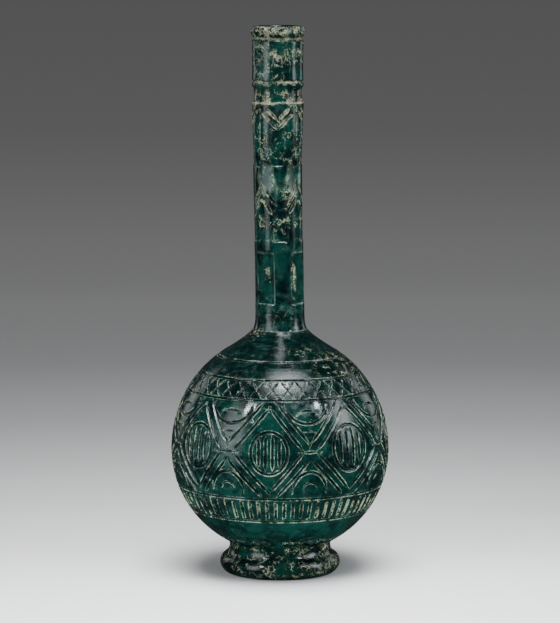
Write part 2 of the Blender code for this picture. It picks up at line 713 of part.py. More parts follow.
def main():
    for old in list(bpy.data.objects):
        bpy.data.objects.remove(old)
    bottle()


main()
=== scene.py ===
"""Looks of the long-necked bottle: weathered dark green glass, cut on the wheel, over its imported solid.

Lengths are in metres. Angles are in degrees, 0 at the front (-Y) and growing towards +X.
The glass is first laid out flat as a sheet: x is the angle, y the run, a length measured along the
profile from the middle of the inner floor, up the inside, over the lip and down the outside.
Geometry Nodes roll the sheet up, grind the facets and sink the cuts.
"""

import logging
import math
from collections.abc import Callable, Sequence
from dataclasses import dataclass, field
from enum import Enum

import bpy
import numpy as np
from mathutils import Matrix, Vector
from mathutils.geometry import delaunay_2d_cdt


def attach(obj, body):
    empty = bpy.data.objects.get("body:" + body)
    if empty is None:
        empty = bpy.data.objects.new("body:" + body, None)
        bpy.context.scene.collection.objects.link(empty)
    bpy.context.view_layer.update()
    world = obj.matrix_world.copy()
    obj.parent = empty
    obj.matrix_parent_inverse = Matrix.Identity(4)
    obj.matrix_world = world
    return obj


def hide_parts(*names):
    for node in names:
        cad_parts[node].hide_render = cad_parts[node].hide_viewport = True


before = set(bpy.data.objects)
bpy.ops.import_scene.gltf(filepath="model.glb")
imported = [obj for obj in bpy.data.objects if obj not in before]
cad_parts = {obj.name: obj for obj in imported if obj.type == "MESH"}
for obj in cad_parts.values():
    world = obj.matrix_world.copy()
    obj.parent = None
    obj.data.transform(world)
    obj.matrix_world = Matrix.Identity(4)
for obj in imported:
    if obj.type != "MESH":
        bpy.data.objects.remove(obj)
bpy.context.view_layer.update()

Point = tuple[float, float]
Path = list[Point]

MM = 0.001
FULL_TURN = 360.0
ALL_ROUND = 999
HALF_TURN = 180.0
SEAM = -HALF_TURN

log = logging.getLogger("bottle")


def arc(centre: Point, radius: float, first: float, last: float, steps: int) -> Path:
    """Points of a circular arc in the plane of the profile.

    Args:
        centre: radius and height of the arc's centre.
        radius: the arc's own radius.
        first: turn of the first point, 0 outwards and 90 up.
        last: turn of the last point.
        steps: how many stretches the arc has.

    Returns:
        The points from first to last.
    """
    turns = np.radians(np.linspace(first, last, steps + 1))
    return [(centre[0] + radius * math.cos(t), centre[1] + radius * math.sin(t)) for t in turns]


def bend(start: Point, corner: Point, end: Point, steps: int) -> Path:
    """Points of a smooth bend drawn towards a corner.

    Args:
        start: where the bend begins; it isn't among the points.
        corner: the point that draws the bend.
        end: the last point.
        steps: how many stretches the bend has.

    Returns:
        The points after start, end among them.
    """
    points = []
    for i in range(1, steps + 1):
        t = i / steps
        weights = ((1 - t) ** 2, 2 * t * (1 - t), t * t)
        points.append(tuple(sum(w * p[k] for w, p in zip(weights, (start, corner, end))) for k in (0, 1)))
    return points


class Wheel(Enum):
    """The wheels that made the cuts: half width, depth, roundness of the bottom, and dirt and painted shade
    held.
    """

    LINE = (0.78 * MM, 0.75 * MM, 0.3, 1.0)
    THIN = (0.5 * MM, 0.45 * MM, 0.3, 1.0)
    FLUTE = (0.78 * MM, 0.6 * MM, 0.6, 1.0)
    RING = (0.65 * MM, 0.5 * MM, 0.45, 1.0)
    SCRATCH = (0.3 * MM, 0.22 * MM, 0.4, 0.6)
    LENS = (3.8 * MM, 0.5 * MM, 1.6, 0.0)

    @property
    def half_width(self) -> float:
        """Half the width of a full cut."""
        return self.value[0]

    @property
    def depth(self) -> float:
        """Depth of a full cut."""
        return self.value[1]

    @property
    def roundness(self) -> float:
        """How round the bottom is: near 0 a sharp V, above 1 a shallow hollow."""
        return self.value[2]

    @property
    def dirt(self) -> float:
        """How much dirt and painted shade its cuts hold: 1 in a narrow cut, 0 in a clean hollow."""
        return self.value[3]


@dataclass
class Stroke:
    """One stroke of a wheel: a path of angles and runs, thinner towards its tips."""

    wheel: Wheel
    path: Path
    closed: bool = False
    tip: float = 0.18

    def fullness(self, share: np.ndarray) -> np.ndarray:
        """How wide and deep the stroke is, 0 to 1, at shares of its length.

        Args:
            share: shares of the stroke's length, 0 to 1.

        Returns:
            The fullness at each share.
        """
        if self.closed or self.tip == 0:
            return np.ones_like(share)
        if self.wheel is Wheel.LENS:
            return np.sqrt(np.clip(4 * share * (1 - share), 0.02, 1))
        return np.clip(np.minimum(share, 1 - share) / self.tip, 0.08, 1)


class Profile:
    """The turned profile of the glass as one line, with lengths measured along it."""

    def __init__(self, inside: Path, outside: Path) -> None:
        """Joins the two lines of the profile.

        Args:
            inside: from the middle of the inner floor up to the mouth.
            outside: from the mouth down to the middle of the underside.
        """
        self.points = np.array(inside + outside)
        steps = np.hypot(*np.diff(self.points, axis=0).T)
        self.runs = np.concatenate([[0.0], np.cumsum(steps)])
        self.mouth = float(self.runs[len(inside) - 1])
        self.length = float(self.runs[-1])
        self.outer = slice(len(inside), None)
        fine = np.linspace(0.0, self.length, 16000)
        girth = np.maximum(self.radius(fine), 0.6 * MM)
        grown = np.cumsum(np.diff(fine, prepend=0.0) / girth)
        self.fine, self.grown = fine, grown

    def radius(self, run: np.ndarray | float) -> np.ndarray:
        """Radius at runs."""
        return np.interp(run, self.runs, self.points[:, 0])

    def height(self, run: np.ndarray | float) -> np.ndarray:
        """Height at runs."""
        return np.interp(run, self.runs, self.points[:, 1])

    def stretched(self, run: np.ndarray) -> np.ndarray:
        """Runs on a map of the glass that keeps its angles, so that triangles laid on it stay even."""
        return np.interp(run, self.fine, self.grown)

    def run_at(self, z: float) -> float:
        """Run on the outside at a height."""
        return float(np.interp(-z, -self.points[self.outer, 1], self.runs[self.outer]))

    def place(self, angle: float, run: float, across: float = 0.0, down: float = 0.0) -> Point:
        """A point of the sheet moved across and down by lengths on the glass."""
        at = run + down
        return angle + math.degrees(across / float(self.radius(at))), at

    def oval(
        self, at: Point, half_width: float, rise: float, turns: Point, steps: int
    ) -> Path:
        """Points of an ellipse on the sheet.

        Args:
            at: angle and run of its centre.
            half_width: half its width on the glass.
            rise: half its height on the glass.
            turns: first and last turn; 0 points right and 90 down.
            steps: how many stretches it has.

        Returns:
            The path of the ellipse.
        """
        path = []
        for turn in np.radians(np.linspace(*turns, steps + 1)):
            path.append(self.place(*at, half_width * math.cos(turn), rise * math.sin(turn)))
        return path


@dataclass
class Globe:
    """The blown globe and all that is cut into it."""

    radius: float = 48.0 * MM
    centre: float = 54.457 * MM
    rise: float = 51.0 * MM
    drop: float = 46.5 * MM
    wall: float = 3.2 * MM
    inner_floor: float = 10.8 * MM
    shoulder: float = 62.0
    waist: float = -61.508
    mouth: float = 73.0
    rings: tuple = (55.4, 43.5, 32.4, -18.6, -33.3)
    repeats: int = 8
    front_oval: float = -5.7
    oval_drift: tuple = (0.0, 0.3, 0.6, 0.0, 0.0, 0.0, 0.0, 2.2)
    oval_fall: tuple = (1.2 * MM, 0.2 * MM, 0.0, 0.5 * MM, -0.4 * MM, 0.3 * MM, 0.0, 0.0)
    oval_growth: tuple = (1.0, 1.1, 1.04, 1.0, 1.05, 0.98, 1.03, 1.04)
    node_drift: tuple = (-0.9, 1.6, 0.6, 0.0, 0.0, 0.0, 4.0, -0.3)
    node_share: float = 0.52
    strip_half_gap: float = 2.0 * MM
    oval_half_width: float = 8.0 * MM
    oval_half_height: float = 9.2 * MM
    bars: int = 4
    bar_pitch: float = 3.0 * MM
    bar_margin: float = 1.6 * MM
    crescent: Point = (9.8 * MM, 9.6 * MM)
    lid: tuple = (6.2 * MM, 4.2 * MM, 1.4 * MM)
    low_bar: Point = (14.0 * MM, 3.2 * MM)
    node_bar: float = 6.0 * MM
    arch: tuple = (3.0 * MM, 7.7 * MM, 9.4 * MM)
    inner_arch: Point = (3.6 * MM, 4.6 * MM)
    crosses: int = 36
    cross_lean: float = 0.4
    flutes: int = 74
    flute_margin: float = 1.5 * MM

    def point(self, latitude: float, wall: float = 0.0, drop: float | None = None) -> Point:
        """Radius and height at a latitude, or on the hollow's wall inside it.

        Args:
            latitude: degrees above the globe's middle.
            wall: how far inside the outer face.
            drop: how far the lower half reaches down, if not as far as the outer face.

        Returns:
            Its radius and height.
        """
        angle = math.radians(latitude)
        half = self.rise - wall if latitude > 0 else (drop or self.drop)
        return (self.radius - wall) * math.cos(angle), self.centre + half * math.sin(angle)

    def outside(self, neck: Point) -> Path:
        """The outside from the neck's foot down to the waist above the foot ring.

        Args:
            neck: radius and height where the neck ends.

        Returns:
            The points, from the top down.
        """
        shoulder = self.point(self.shoulder)
        corner = (neck[0], shoulder[1] + 0.74 * (neck[1] - shoulder[1]))
        sweep = bend(shoulder, corner, neck, 24)
        return sweep[::-1] + [self.point(lat) for lat in np.linspace(self.shoulder, self.waist, 260)]

    def inside(self, bore: Point) -> Path:
        """The hollow from the middle of its floor up to the foot of the bore.

        Args:
            bore: radius and height where the bore starts.

        Returns:
            The points, from the floor up.
        """
        drop = self.centre - self.inner_floor
        path = [self.point(lat, self.wall, drop) for lat in np.linspace(-90, self.mouth, 90)]
        path[0] = (0.0, path[0][1])
        top = path[-1]
        return path + bend(top, (bore[0], 0.5 * (top[1] + bore[1])), bore, 8)

    def ring_runs(self, profile: Profile) -> list[float]:
        """Runs of the five rings, from the shoulder's down to the belly's."""
        return [profile.run_at(self.point(latitude)[1]) for latitude in self.rings]

    def pattern(self) -> list[tuple[float, float, float]]:
        """For each repeat: the angle of its oval, of the node after it, and of the next oval.

        Returns:
            One row for each repeat.
        """
        pitch = FULL_TURN / self.repeats
        ovals = [self.front_oval + pitch * k + d for k, d in enumerate(self.oval_drift)]
        nodes = [self.front_oval + pitch * (k + 0.5) + d for k, d in enumerate(self.node_drift)]
        return list(zip(ovals, nodes, ovals[1:] + [ovals[0] + FULL_TURN]))

    def strokes(self, profile: Profile) -> list[Stroke]:
        """Every stroke that is cut into the globe.

        Args:
            profile: the glass's profile.

        Returns:
            The strokes.
        """
        rings = self.ring_runs(profile)
        _, collar, crown, girdle, belly = rings
        whole = np.linspace(SEAM, SEAM + FULL_TURN, 181)[:-1]
        made = [Stroke(Wheel.RING, [(a, run) for a in whole], closed=True) for run in rings]
        made += self.lattice(collar, crown)
        made += self.diamonds(profile, crown, girdle)
        made += self.ovals(profile, crown, girdle)
        made += self.crescents(profile, crown, girdle)
        made += self.flute_row(girdle, belly)
        return made

    def lattice(self, top: float, bottom: float) -> list[Stroke]:
        """The band of crossed strokes between two rings.

        Args:
            top: run of the ring above.
            bottom: run of the ring below.

        Returns:
            The strokes.
        """
        pitch = FULL_TURN / self.crosses
        high, low = top + 0.9 * MM, bottom - 0.9 * MM
        made = []
        for k in range(self.crosses):
            centre = SEAM + pitch * (k + 0.5)
            for side in (-1, 1):
                lean = side * self.cross_lean * pitch
                made.append(Stroke(Wheel.THIN, [(centre - lean, low), (centre + lean, high)], tip=0.06))
        return made

    def diamonds(self, profile: Profile, crown: float, girdle: float) -> list[Stroke]:
        """The strips that cross at the nodes, each a pair of lines.

        Args:
            profile: the glass's profile.
            crown: run of the ring above.
            girdle: run of the ring below.

        Returns:
            The strokes.
        """
        node_run = crown + self.node_share * (girdle - crown)
        width = math.radians(HALF_TURN / self.repeats) * float(profile.radius(node_run))
        gap = self.strip_half_gap
        made = []
        for oval, node, after in self.pattern():
            for side, apex in ((-1, oval), (1, after)):
                for end_run, lean in ((crown, 1), (girdle, -1)):
                    tall = abs(end_run - node_run)
                    slant = math.hypot(width, tall)
                    down, across = gap * slant / width * lean, gap * slant / tall
                    inner = [(apex, end_run + down), profile.place(node, node_run, across * side)]
                    foot = profile.place(apex, end_run + Wheel.RING.half_width * lean, -across * side)
                    made.append(Stroke(Wheel.LINE, inner, tip=0.14))
                    made.append(Stroke(Wheel.LINE, [foot, (node, node_run - down)], tip=0.14))
        return made

    def ovals(self, profile: Profile, crown: float, girdle: float) -> list[Stroke]:
        """The oval in each diamond and the upright bars inside it.

        Args:
            profile: the glass's profile.
            crown: run of the ring above.
            girdle: run of the ring below.

        Returns:
            The strokes.
        """
        made = []
        for k, (oval, _, _) in enumerate(self.pattern()):
            run = crown + 0.5 * (girdle - crown) + self.oval_fall[k]
            grown = self.oval_growth[k]
            half_width, half_height = self.oval_half_width * grown, self.oval_half_height * grown
            outline = profile.oval((oval, run), half_width, half_height, (0, FULL_TURN), 48)[:-1]
            made.append(Stroke(Wheel.LINE, outline, closed=True))
            for bar in range(self.bars):
                across = (bar - 0.5 * (self.bars - 1)) * self.bar_pitch * grown
                share = across / (half_width - Wheel.LINE.half_width)
                reach = (half_height - self.bar_margin) * math.sqrt(max(0.05, 1 - share * share))
                ends = [profile.place(oval, run, across, d) for d in (-reach, reach)]
                made.append(Stroke(Wheel.LINE, ends, tip=0.1))
        return made

    def crescents(self, profile: Profile, crown: float, girdle: float) -> list[Stroke]:
        """The crescents under the crown ring, the arches over the girdle ring and the bars at the nodes.

        Args:
            profile: the glass's profile.
            crown: run of the ring above.
            girdle: run of the ring below.

        Returns:
            The strokes.
        """
        node_run = crown + self.node_share * (girdle - crown)
        lid_drop, lid_half, lid_rise = self.lid
        arch_foot, arch_half, arch_rise = self.arch
        made = []
        for _, node, _ in self.pattern():
            hang = (node, crown + 1.0 * MM)
            arch_at = (node, girdle - arch_foot)
            made.append(Stroke(Wheel.LINE, profile.oval(hang, *self.crescent, (8, 172), 20)))
            lid = profile.oval((node, crown + lid_drop), lid_half, lid_rise, (200, 340), 10)
            made.append(Stroke(Wheel.LINE, lid, tip=0.33))
            low = [profile.place(node, crown + self.low_bar[0], self.low_bar[1] * s) for s in (-1, 0, 1)]
            made.append(Stroke(Wheel.THIN, low, tip=0.5))
            made.append(Stroke(Wheel.LINE, profile.oval(arch_at, arch_half, arch_rise, (180, 360), 20)))
            made.append(Stroke(Wheel.THIN, profile.oval(arch_at, *self.inner_arch, (205, 335), 10), tip=0.33))
            middle = [profile.place(node, node_run, self.node_bar * s) for s in (-1, 0, 1)]
            made.append(Stroke(Wheel.LINE, middle, tip=0.5))
        return made

    def flute_row(self, top: float, bottom: float) -> list[Stroke]:
        """The row of short upright strokes between two rings.

        Args:
            top: run of the ring above.
            bottom: run of the ring below.

        Returns:
            The strokes.
        """
        pitch = FULL_TURN / self.flutes
        made = []
        for k in range(self.flutes):
            angle = SEAM + pitch * (k + 0.5)
            path = [(angle, top + self.flute_margin), (angle, bottom - self.flute_margin)]
            made.append(Stroke(Wheel.FLUTE, path, tip=0.1))
        return made


@dataclass
class Facet:
    """A row of flats ground round the neck."""

    turn: float
    top: float
    ledge: float
    top_distance: float
    ledge_distance: float
    count: int = 4


@dataclass
class Neck:
    """The neck from the globe up to the lip: collar, panels, two faceted tiers, recess, bead and band."""

    foot: float = 109.057 * MM
    bore: float = 7.8 * MM
    collar_foot_radius: float = 11.4 * MM
    collar_radius: float = 10.85 * MM
    panel_foot: float = 119.057 * MM
    panel_top: float = 141.257 * MM
    lower_ledge: float = 147.057 * MM
    upper_ledge: float = 180.057 * MM
    tier_top: float = 207.057 * MM
    recess_top: float = 213.257 * MM
    bead_top: float = 215.457 * MM
    band_foot: float = 216.257 * MM
    band_top: float = 233.657 * MM
    lip_foot: float = 235.257 * MM
    lip_top: float = 240.057 * MM
    radius: float = 10.75 * MM
    tier_radius: float = 11.35 * MM
    recess_radius: float = 10.55 * MM
    bead_radius: float = 11.45 * MM
    band_radius: float = 11.3 * MM
    lip_radius: float = 11.8 * MM
    inner_rounding: float = 0.9 * MM
    lip_rounding: float = 1.5 * MM
    step: float = 0.3 * MM
    ledge_slope: float = 0.62 * MM
    wear: float = 0.12 * MM
    sides: int = 4
    lean: float = 1.0 * MM
    panel_turn: float = 53.5
    lower_turn: float = 6.0
    upper_chevrons: tuple = ((2.4, 11.6, 45.0, 0.0), (2.0, 7.4, 29.0, 0.0))
    lower_chevrons: tuple = ((8.6, 18.0, 45.0, 8.0), (15.0, 21.5, 42.0, 20.0))
    lens_turns: tuple = (-31.0, 43.0)
    lens: Point = (166.8 * MM, 184.0 * MM)
    border: Point = (181.5 * MM, 206.2 * MM)

    def inside(self) -> Path:
        """The bore from the globe up to the mouth."""
        corner = (self.bore + self.inner_rounding, self.lip_top - self.inner_rounding)
        return [(self.bore, 0.5 * (self.foot + self.lip_top))] + arc(corner, self.inner_rounding, 180, 90, 6)

    def outside(self) -> Path:
        """The outside from the lip's top down to the globe.

        Returns:
            The points, from the top down.
        """
        step, rounding = self.step, self.lip_rounding
        under = 1.1 * MM
        groove = self.band_radius - 0.7 * MM
        bead = 0.5 * (self.bead_top - self.recess_top)
        bead_centre = (self.bead_radius - bead, self.recess_top + bead)
        mid = self.band_foot + (self.band_top - self.band_foot) / 3
        collar, corner = (self.collar_radius, self.foot + 7 * MM), (self.collar_radius, self.foot + 2 * MM)
        return [
            *arc((self.lip_radius - rounding, self.lip_top - rounding), rounding, 90, 0, 10),
            *arc((self.lip_radius - under, self.lip_foot + under), under, 0, -78, 6),
            (groove, self.lip_foot - step),
            (groove, self.band_top + step),
            (self.band_radius - 0.1 * MM, self.band_top),
            (self.band_radius, self.band_top - step),
            (self.band_radius - 0.15 * MM, mid),
            (self.band_radius, self.band_foot + step),
            (self.band_radius - 0.15 * MM, self.band_foot),
            (self.band_radius - 0.5 * MM, 0.5 * (self.bead_top + self.band_foot)),
            *arc(bead_centre, bead, 72, -65, 8),
            (self.recess_radius, self.recess_top - step),
            (self.recess_radius, self.tier_top + step),
            (self.tier_radius - 0.15 * MM, self.tier_top),
            (self.tier_radius, self.tier_top - step),
            (self.tier_radius, 0.5 * (self.tier_top + self.upper_ledge)),
            (self.radius, self.upper_ledge),
            (self.radius, self.panel_foot),
            (self.collar_radius, self.panel_foot - step),
            *bend(collar, corner, self.end(), 8)[:-1],
        ]

    def end(self) -> Point:
        """Radius and height where the neck meets the globe."""
        return self.collar_foot_radius, self.foot

    def creases(self) -> tuple[float, ...]:
        """Heights of the steps that go all round."""
        return self.lip_foot, self.band_top, self.band_foot, self.recess_top, self.tier_top, self.panel_foot

    def facets(self) -> list[Facet]:
        """The flats of the three faceted tiers.

        Returns:
            The rows, from the top down.
        """
        upper_foot, lower_foot = self.radius - 0.4 * MM, self.radius - 0.5 * MM
        panel = self.radius - 1.0 * MM
        run_out = 2.5 * MM
        return [
            Facet(0.0, self.tier_top - run_out, self.upper_ledge, self.tier_radius, upper_foot),
            Facet(self.lower_turn, self.upper_ledge - run_out, self.lower_ledge, self.radius, lower_foot),
            Facet(self.panel_turn, self.panel_top, self.panel_foot + 2 * self.step, panel, panel),
        ]

    def strokes(self, profile: Profile) -> list[Stroke]:
        """Every stroke that is cut into the neck.

        Args:
            profile: the glass's profile.

        Returns:
            The strokes.
        """
        whole = np.linspace(SEAM, SEAM + FULL_TURN, 91)[:-1]
        foot = profile.run_at(self.foot) + 1.5 * MM
        made = [Stroke(Wheel.SCRATCH, [(a, foot) for a in whole], closed=True)]
        for k in range(self.sides):
            turned = FULL_TURN / self.sides * k
            made += self.chevrons(profile, turned, self.tier_top, self.upper_chevrons)
            made += self.chevrons(profile, turned + self.lower_turn, self.upper_ledge, self.lower_chevrons)
            if k % 2 == 0:
                for turn in self.lens_turns:
                    lens = [(turned + turn, profile.run_at(z)) for z in reversed(self.lens)]
                    made.append(Stroke(Wheel.LENS, lens, tip=0.5))
            border = [(turned + 47.0, profile.run_at(z)) for z in reversed(self.border)]
            made.append(Stroke(Wheel.SCRATCH, border, tip=0.04))
            made += self.hatching(profile, turned + self.lower_turn)
        return made

    def chevrons(self, profile: Profile, centre: float, top: float, drops: tuple) -> list[Stroke]:
        """Slanting strokes that point down at the middle of a flat.

        Args:
            profile: the glass's profile.
            centre: angle of the flat's middle.
            top: height of the flat's top.
            drops: for each pair, how far down its ends lie in millimetres, and at which angles.

        Returns:
            The strokes.
        """
        made = []
        for start_drop, tip_drop, start_angle, tip_angle in drops:
            for side in (-1, 1):
                start = (centre + side * start_angle, profile.run_at(top - start_drop * MM))
                tip = (centre + side * tip_angle, profile.run_at(top - tip_drop * MM))
                made.append(Stroke(Wheel.LINE, [start, tip], tip=0.2))
        return made

    def hatching(self, profile: Profile, centre: float) -> list[Stroke]:
        """Thin hatch strokes beside the right arm of a lower chevron.

        Args:
            profile: the glass's profile.
            centre: angle of the flat's middle.

        Returns:
            The strokes.
        """
        made = []
        for start_drop, tip_drop, start_angle, tip_angle in ((5.5, 13.0, 47, 24), (11.2, 19.4, 46, 14)):
            start = (centre + start_angle, profile.run_at(self.upper_ledge - start_drop * MM))
            tip = (centre + tip_angle, profile.run_at(self.upper_ledge - tip_drop * MM))
            made.append(Stroke(Wheel.SCRATCH, [start, tip], tip=0.25))
        return made


@dataclass
class Foot:
    """The foot ring with its waist, ground flat and hollow underside."""

    radius: float = 26.6 * MM
    roll: float = 4.5 * MM
    grind: float = 0.4 * MM
    waist_radius: float = 22.3 * MM
    waist_height: float = 12.4 * MM
    roll_start: float = 65.0
    flat_width: float = 5.2 * MM
    kick: float = 4.6 * MM

    def outside(self) -> Path:
        """The outside from the waist down and in to the middle of the underside.

        Returns:
            The points, from the top down.
        """
        height = self.roll - self.grind
        last = -math.degrees(math.asin(height / self.roll))
        roll = arc((self.radius - self.roll, height), self.roll, self.roll_start, last, 22)
        waist = (self.waist_radius, self.waist_height)
        sweep = bend(waist, (self.waist_radius, roll[0][1] + 1.2 * MM), roll[0], 10)
        inner = roll[-1][0] - self.flat_width
        shares = np.linspace(0.97, 0.0, 14)
        kick = [(inner * s, self.kick * (1 - s * s) ** 0.8) for s in shares]
        return [waist, *sweep, *roll[1:], (inner, 0.0), *kick]


class Sheet:
    """The whole surface laid flat, with its points close together along the cuts."""

    INSIDE_SHIFT = 40 * MM
    SEAM_ROOM = 0.3 * MM
    TOLERANCE = 1e-7

    def __init__(self, profile: Profile, pitch: Callable[[np.ndarray], np.ndarray]) -> None:
        """Starts an empty sheet.

        Args:
            profile: the profile that the sheet will follow.
            pitch: gives the spacing of the plain points at runs.
        """
        self.profile, self.pitch = profile, pitch
        self.angles: list[np.ndarray] = []
        self.runs: list[np.ndarray] = []

    def resampled(self, stroke: Stroke, spacing: float) -> tuple[np.ndarray, np.ndarray, np.ndarray]:
        """Angles, runs and shares of the length of points spaced evenly along a stroke.

        Args:
            stroke: the stroke to follow.
            spacing: how far apart the points are.

        Returns:
            Three arrays of one length.
        """
        path = np.array(stroke.path + stroke.path[:1] if stroke.closed else stroke.path)
        if stroke.closed:
            path[-1, 0] += FULL_TURN * round((path[-2, 0] - path[-1, 0]) / FULL_TURN)
        girth = self.profile.radius(path[:, 1])
        across = np.radians(np.diff(path[:, 0])) * 0.5 * (girth[1:] + girth[:-1])
        lengths = np.concatenate([[0.0], np.cumsum(np.hypot(across, np.diff(path[:, 1])))])
        count = max(3, round(lengths[-1] / spacing)) + 1
        at = np.linspace(0, lengths[-1], count)
        share = at / lengths[-1]
        return np.interp(at, lengths, path[:, 0]), np.interp(at, lengths, path[:, 1]), share

    def follow(self, stroke: Stroke, spacing: float, offsets: Sequence[float]) -> None:
        """Adds lines of points along a stroke.

        Args:
            stroke: the stroke to follow.
            spacing: how far apart the points of a line are.
            offsets: how far from the middle the lines lie, in half widths.
        """
        angles, runs, share = self.resampled(stroke, spacing)
        girth = self.profile.radius(runs)
        along = np.stack([np.gradient(np.radians(angles)) * girth, np.gradient(runs)])
        along /= np.hypot(*along)
        width = stroke.wheel.half_width * stroke.fullness(share)
        for offset in offsets:
            self.angles.append(angles + np.degrees(-along[1] * width * offset / girth))
            self.runs.append(runs + along[0] * width * offset)

    def row(self, run: float, pitch: float) -> None:
        """Adds a row of points round the glass at a run.

        Args:
            run: where the row lies.
            pitch: how far apart its points are.
        """
        girth = FULL_TURN * math.radians(1.0) * float(self.profile.radius(run))
        sides = max(14, round(girth / pitch))
        angles = SEAM + FULL_TURN * np.arange(sides) / sides
        self.angles.append(angles)
        self.runs.append(np.full(sides, run))

    def spots(self, angles: np.ndarray, runs: np.ndarray) -> np.ndarray:
        """Places on the glass of points of the sheet.

        Args:
            angles: their angles.
            runs: their runs.

        Returns:
            One row of three numbers for each point.
        """
        turn, girth = np.radians(angles), self.profile.radius(runs)
        inward = np.where(runs < self.profile.mouth, self.INSIDE_SHIFT, 0.0)
        height = self.profile.height(runs) + inward
        return np.stack([girth * np.sin(turn), -girth * np.cos(turn), height], axis=1)

    def thinned(self, weld: float) -> tuple[np.ndarray, np.ndarray]:
        """The points so far, brought between the seams and with near doubles left out.

        Args:
            weld: how close two points may lie.

        Returns:
            Their angles and runs.
        """
        angles = np.concatenate(self.angles)
        runs = np.clip(np.concatenate(self.runs), 0.0, self.profile.length)
        angles = SEAM + (angles - SEAM) % FULL_TURN
        cells = np.round(self.spots(angles, runs) / weld).astype(np.int64)
        _, first = np.unique(cells, axis=0, return_index=True)
        first.sort()
        return angles[first], runs[first]

    def build(self, name: str, clearance: float, weld: float) -> bpy.types.Mesh:
        """Triangulates the sheet.

        Args:
            name: the mesh's name.
            clearance: how far, in pitches, a plain point keeps from the lines of the cuts.
            weld: how close two points of the lines may lie.

        Returns:
            A flat mesh: x is the angle in radians and y the run.
        """
        angles, runs = self.thinned(weld)
        fill_angles, fill_runs = self.fill()
        taken = {tuple(c) for c in np.floor(self.spots(angles, runs) / (clearance * MM)).astype(int)}
        around = [(i, j, k) for i in (-1, 0, 1) for j in (-1, 0, 1) for k in (-1, 0, 1)]
        cells = np.floor(self.spots(fill_angles, fill_runs) / (clearance * MM)).astype(int)
        keep = [not any((x + i, y + j, z + k) in taken for i, j, k in around) for x, y, z in cells]
        angles = np.concatenate([angles, fill_angles[keep]])
        runs = np.concatenate([runs, fill_runs[keep]])
        low, high = SEAM, SEAM + FULL_TURN
        room = np.degrees(self.SEAM_ROOM / np.maximum(self.profile.radius(runs), 1.0 * MM))
        inner = (angles > low + room) & (angles < high - room)
        column = self.column()
        angles = np.concatenate([angles[inner], np.full(len(column), low), np.full(len(column), high)])
        runs = np.concatenate([runs[inner], column, column])
        flat = [Vector(p) for p in zip(np.radians(angles - low), self.profile.stretched(runs))]
        points, _, faces, sources, *_ = delaunay_2d_cdt(flat, [], [], 0, self.TOLERANCE)
        order = [source[0] for source in sources]
        mesh = bpy.data.meshes.new(name)
        points = [(math.radians(angles[i]), runs[i], 0.0) for i in order]
        mesh.from_pydata(points, [], [face[::-1] for face in faces])
        return mesh

    def column(self) -> np.ndarray:
        """Runs of the points on the seam.

        Returns:
            The runs, growing.
        """
        runs, at = [0.0], 0.0
        while at < self.profile.length:
            at += 0.5 * float(self.pitch(np.array([at]))[0])
            runs.append(min(at, self.profile.length))
        return np.array(runs)

    def fill(self) -> tuple[np.ndarray, np.ndarray]:
        """Plain points spread evenly over the whole sheet.

        Returns:
            Their angles and runs.
        """
        angles, runs, at, odd = [], [], 0.0, 0
        while at < self.profile.length:
            pitch = float(self.pitch(np.array([at]))[0])
            sides = max(12, round(math.radians(FULL_TURN) * float(self.profile.radius(at)) / pitch))
            angles.append(SEAM + FULL_TURN * (np.arange(sides) + 0.25 + 0.5 * odd) / sides)
            runs.append(np.full(sides, at))
            at, odd = at + 0.87 * pitch, 1 - odd
        return np.concatenate(angles), np.concatenate(runs)


class Nodes:
    """A node tree and short calls that add to it."""

    def __init__(self, tree: bpy.types.NodeTree) -> None:
        """Works on a tree that exists."""
        self.tree = tree

    def feed(self, socket: bpy.types.NodeSocket, value: object) -> None:
        """Links a socket to another one, or sets its value.

        Args:
            socket: the socket to feed.
            value: another socket, a value, or None to leave it.
        """
        if isinstance(value, bpy.types.NodeSocket):
            self.tree.links.new(value, socket)
        elif value is not None:
            socket.default_value = value

    def add(self, kind: str, inputs: dict | None = None, **settings: object) -> bpy.types.Node:
        """Adds a node.

        Args:
            kind: the node's type.
            inputs: values or sockets, by the input's name or number.
            settings: the node's own settings.

        Returns:
            The node.
        """
        node = self.tree.nodes.new(kind)
        for name, value in settings.items():
            setattr(node, name, value)
        for name, value in (inputs or {}).items():
            self.feed(node.inputs[name], value)
        return node

    def math(self, operation: str, *values: object) -> bpy.types.NodeSocket:
        """The result of a sum on numbers."""
        return self.add("ShaderNodeMath", dict(enumerate(values)), operation=operation).outputs[0]

    def times(self, *values: object) -> bpy.types.NodeSocket:
        """The product of two numbers."""
        return self.math("MULTIPLY", *values)

    def plus(self, *values: object) -> bpy.types.NodeSocket:
        """The sum of two numbers."""
        return self.math("ADD", *values)

    def minus(self, *values: object) -> bpy.types.NodeSocket:
        """The first number less the second."""
        return self.math("SUBTRACT", *values)

    def most(self, *values: object) -> bpy.types.NodeSocket:
        """The greater of two numbers."""
        return self.math("MAXIMUM", *values)

    def least(self, *values: object) -> bpy.types.NodeSocket:
        """The smaller of two numbers."""
        return self.math("MINIMUM", *values)

    def vector(self, operation: str, *values: object) -> bpy.types.NodeSocket:
        """The result of a sum on vectors."""
        node = self.add("ShaderNodeVectorMath", dict(enumerate(values)), operation=operation)
        return node.outputs["Value" if operation in ("LENGTH", "DOT_PRODUCT", "DISTANCE") else "Vector"]

    def ramp(
        self, value: object, low: object, high: object, start: float = 0.0, end: float = 1.0
    ) -> bpy.types.NodeSocket:
        """A soft step: start below low, end above high.

        Args:
            value: what is looked at.
            low: where the step starts.
            high: where it ends.
            start: the result below low.
            end: the result above high.

        Returns:
            The socket that gives the result.
        """
        inputs = {"Value": value, "From Min": low, "From Max": high, "To Min": start, "To Max": end}
        node = self.add("ShaderNodeMapRange", inputs, interpolation_type="SMOOTHSTEP", clamp=True)
        return node.outputs["Result"]


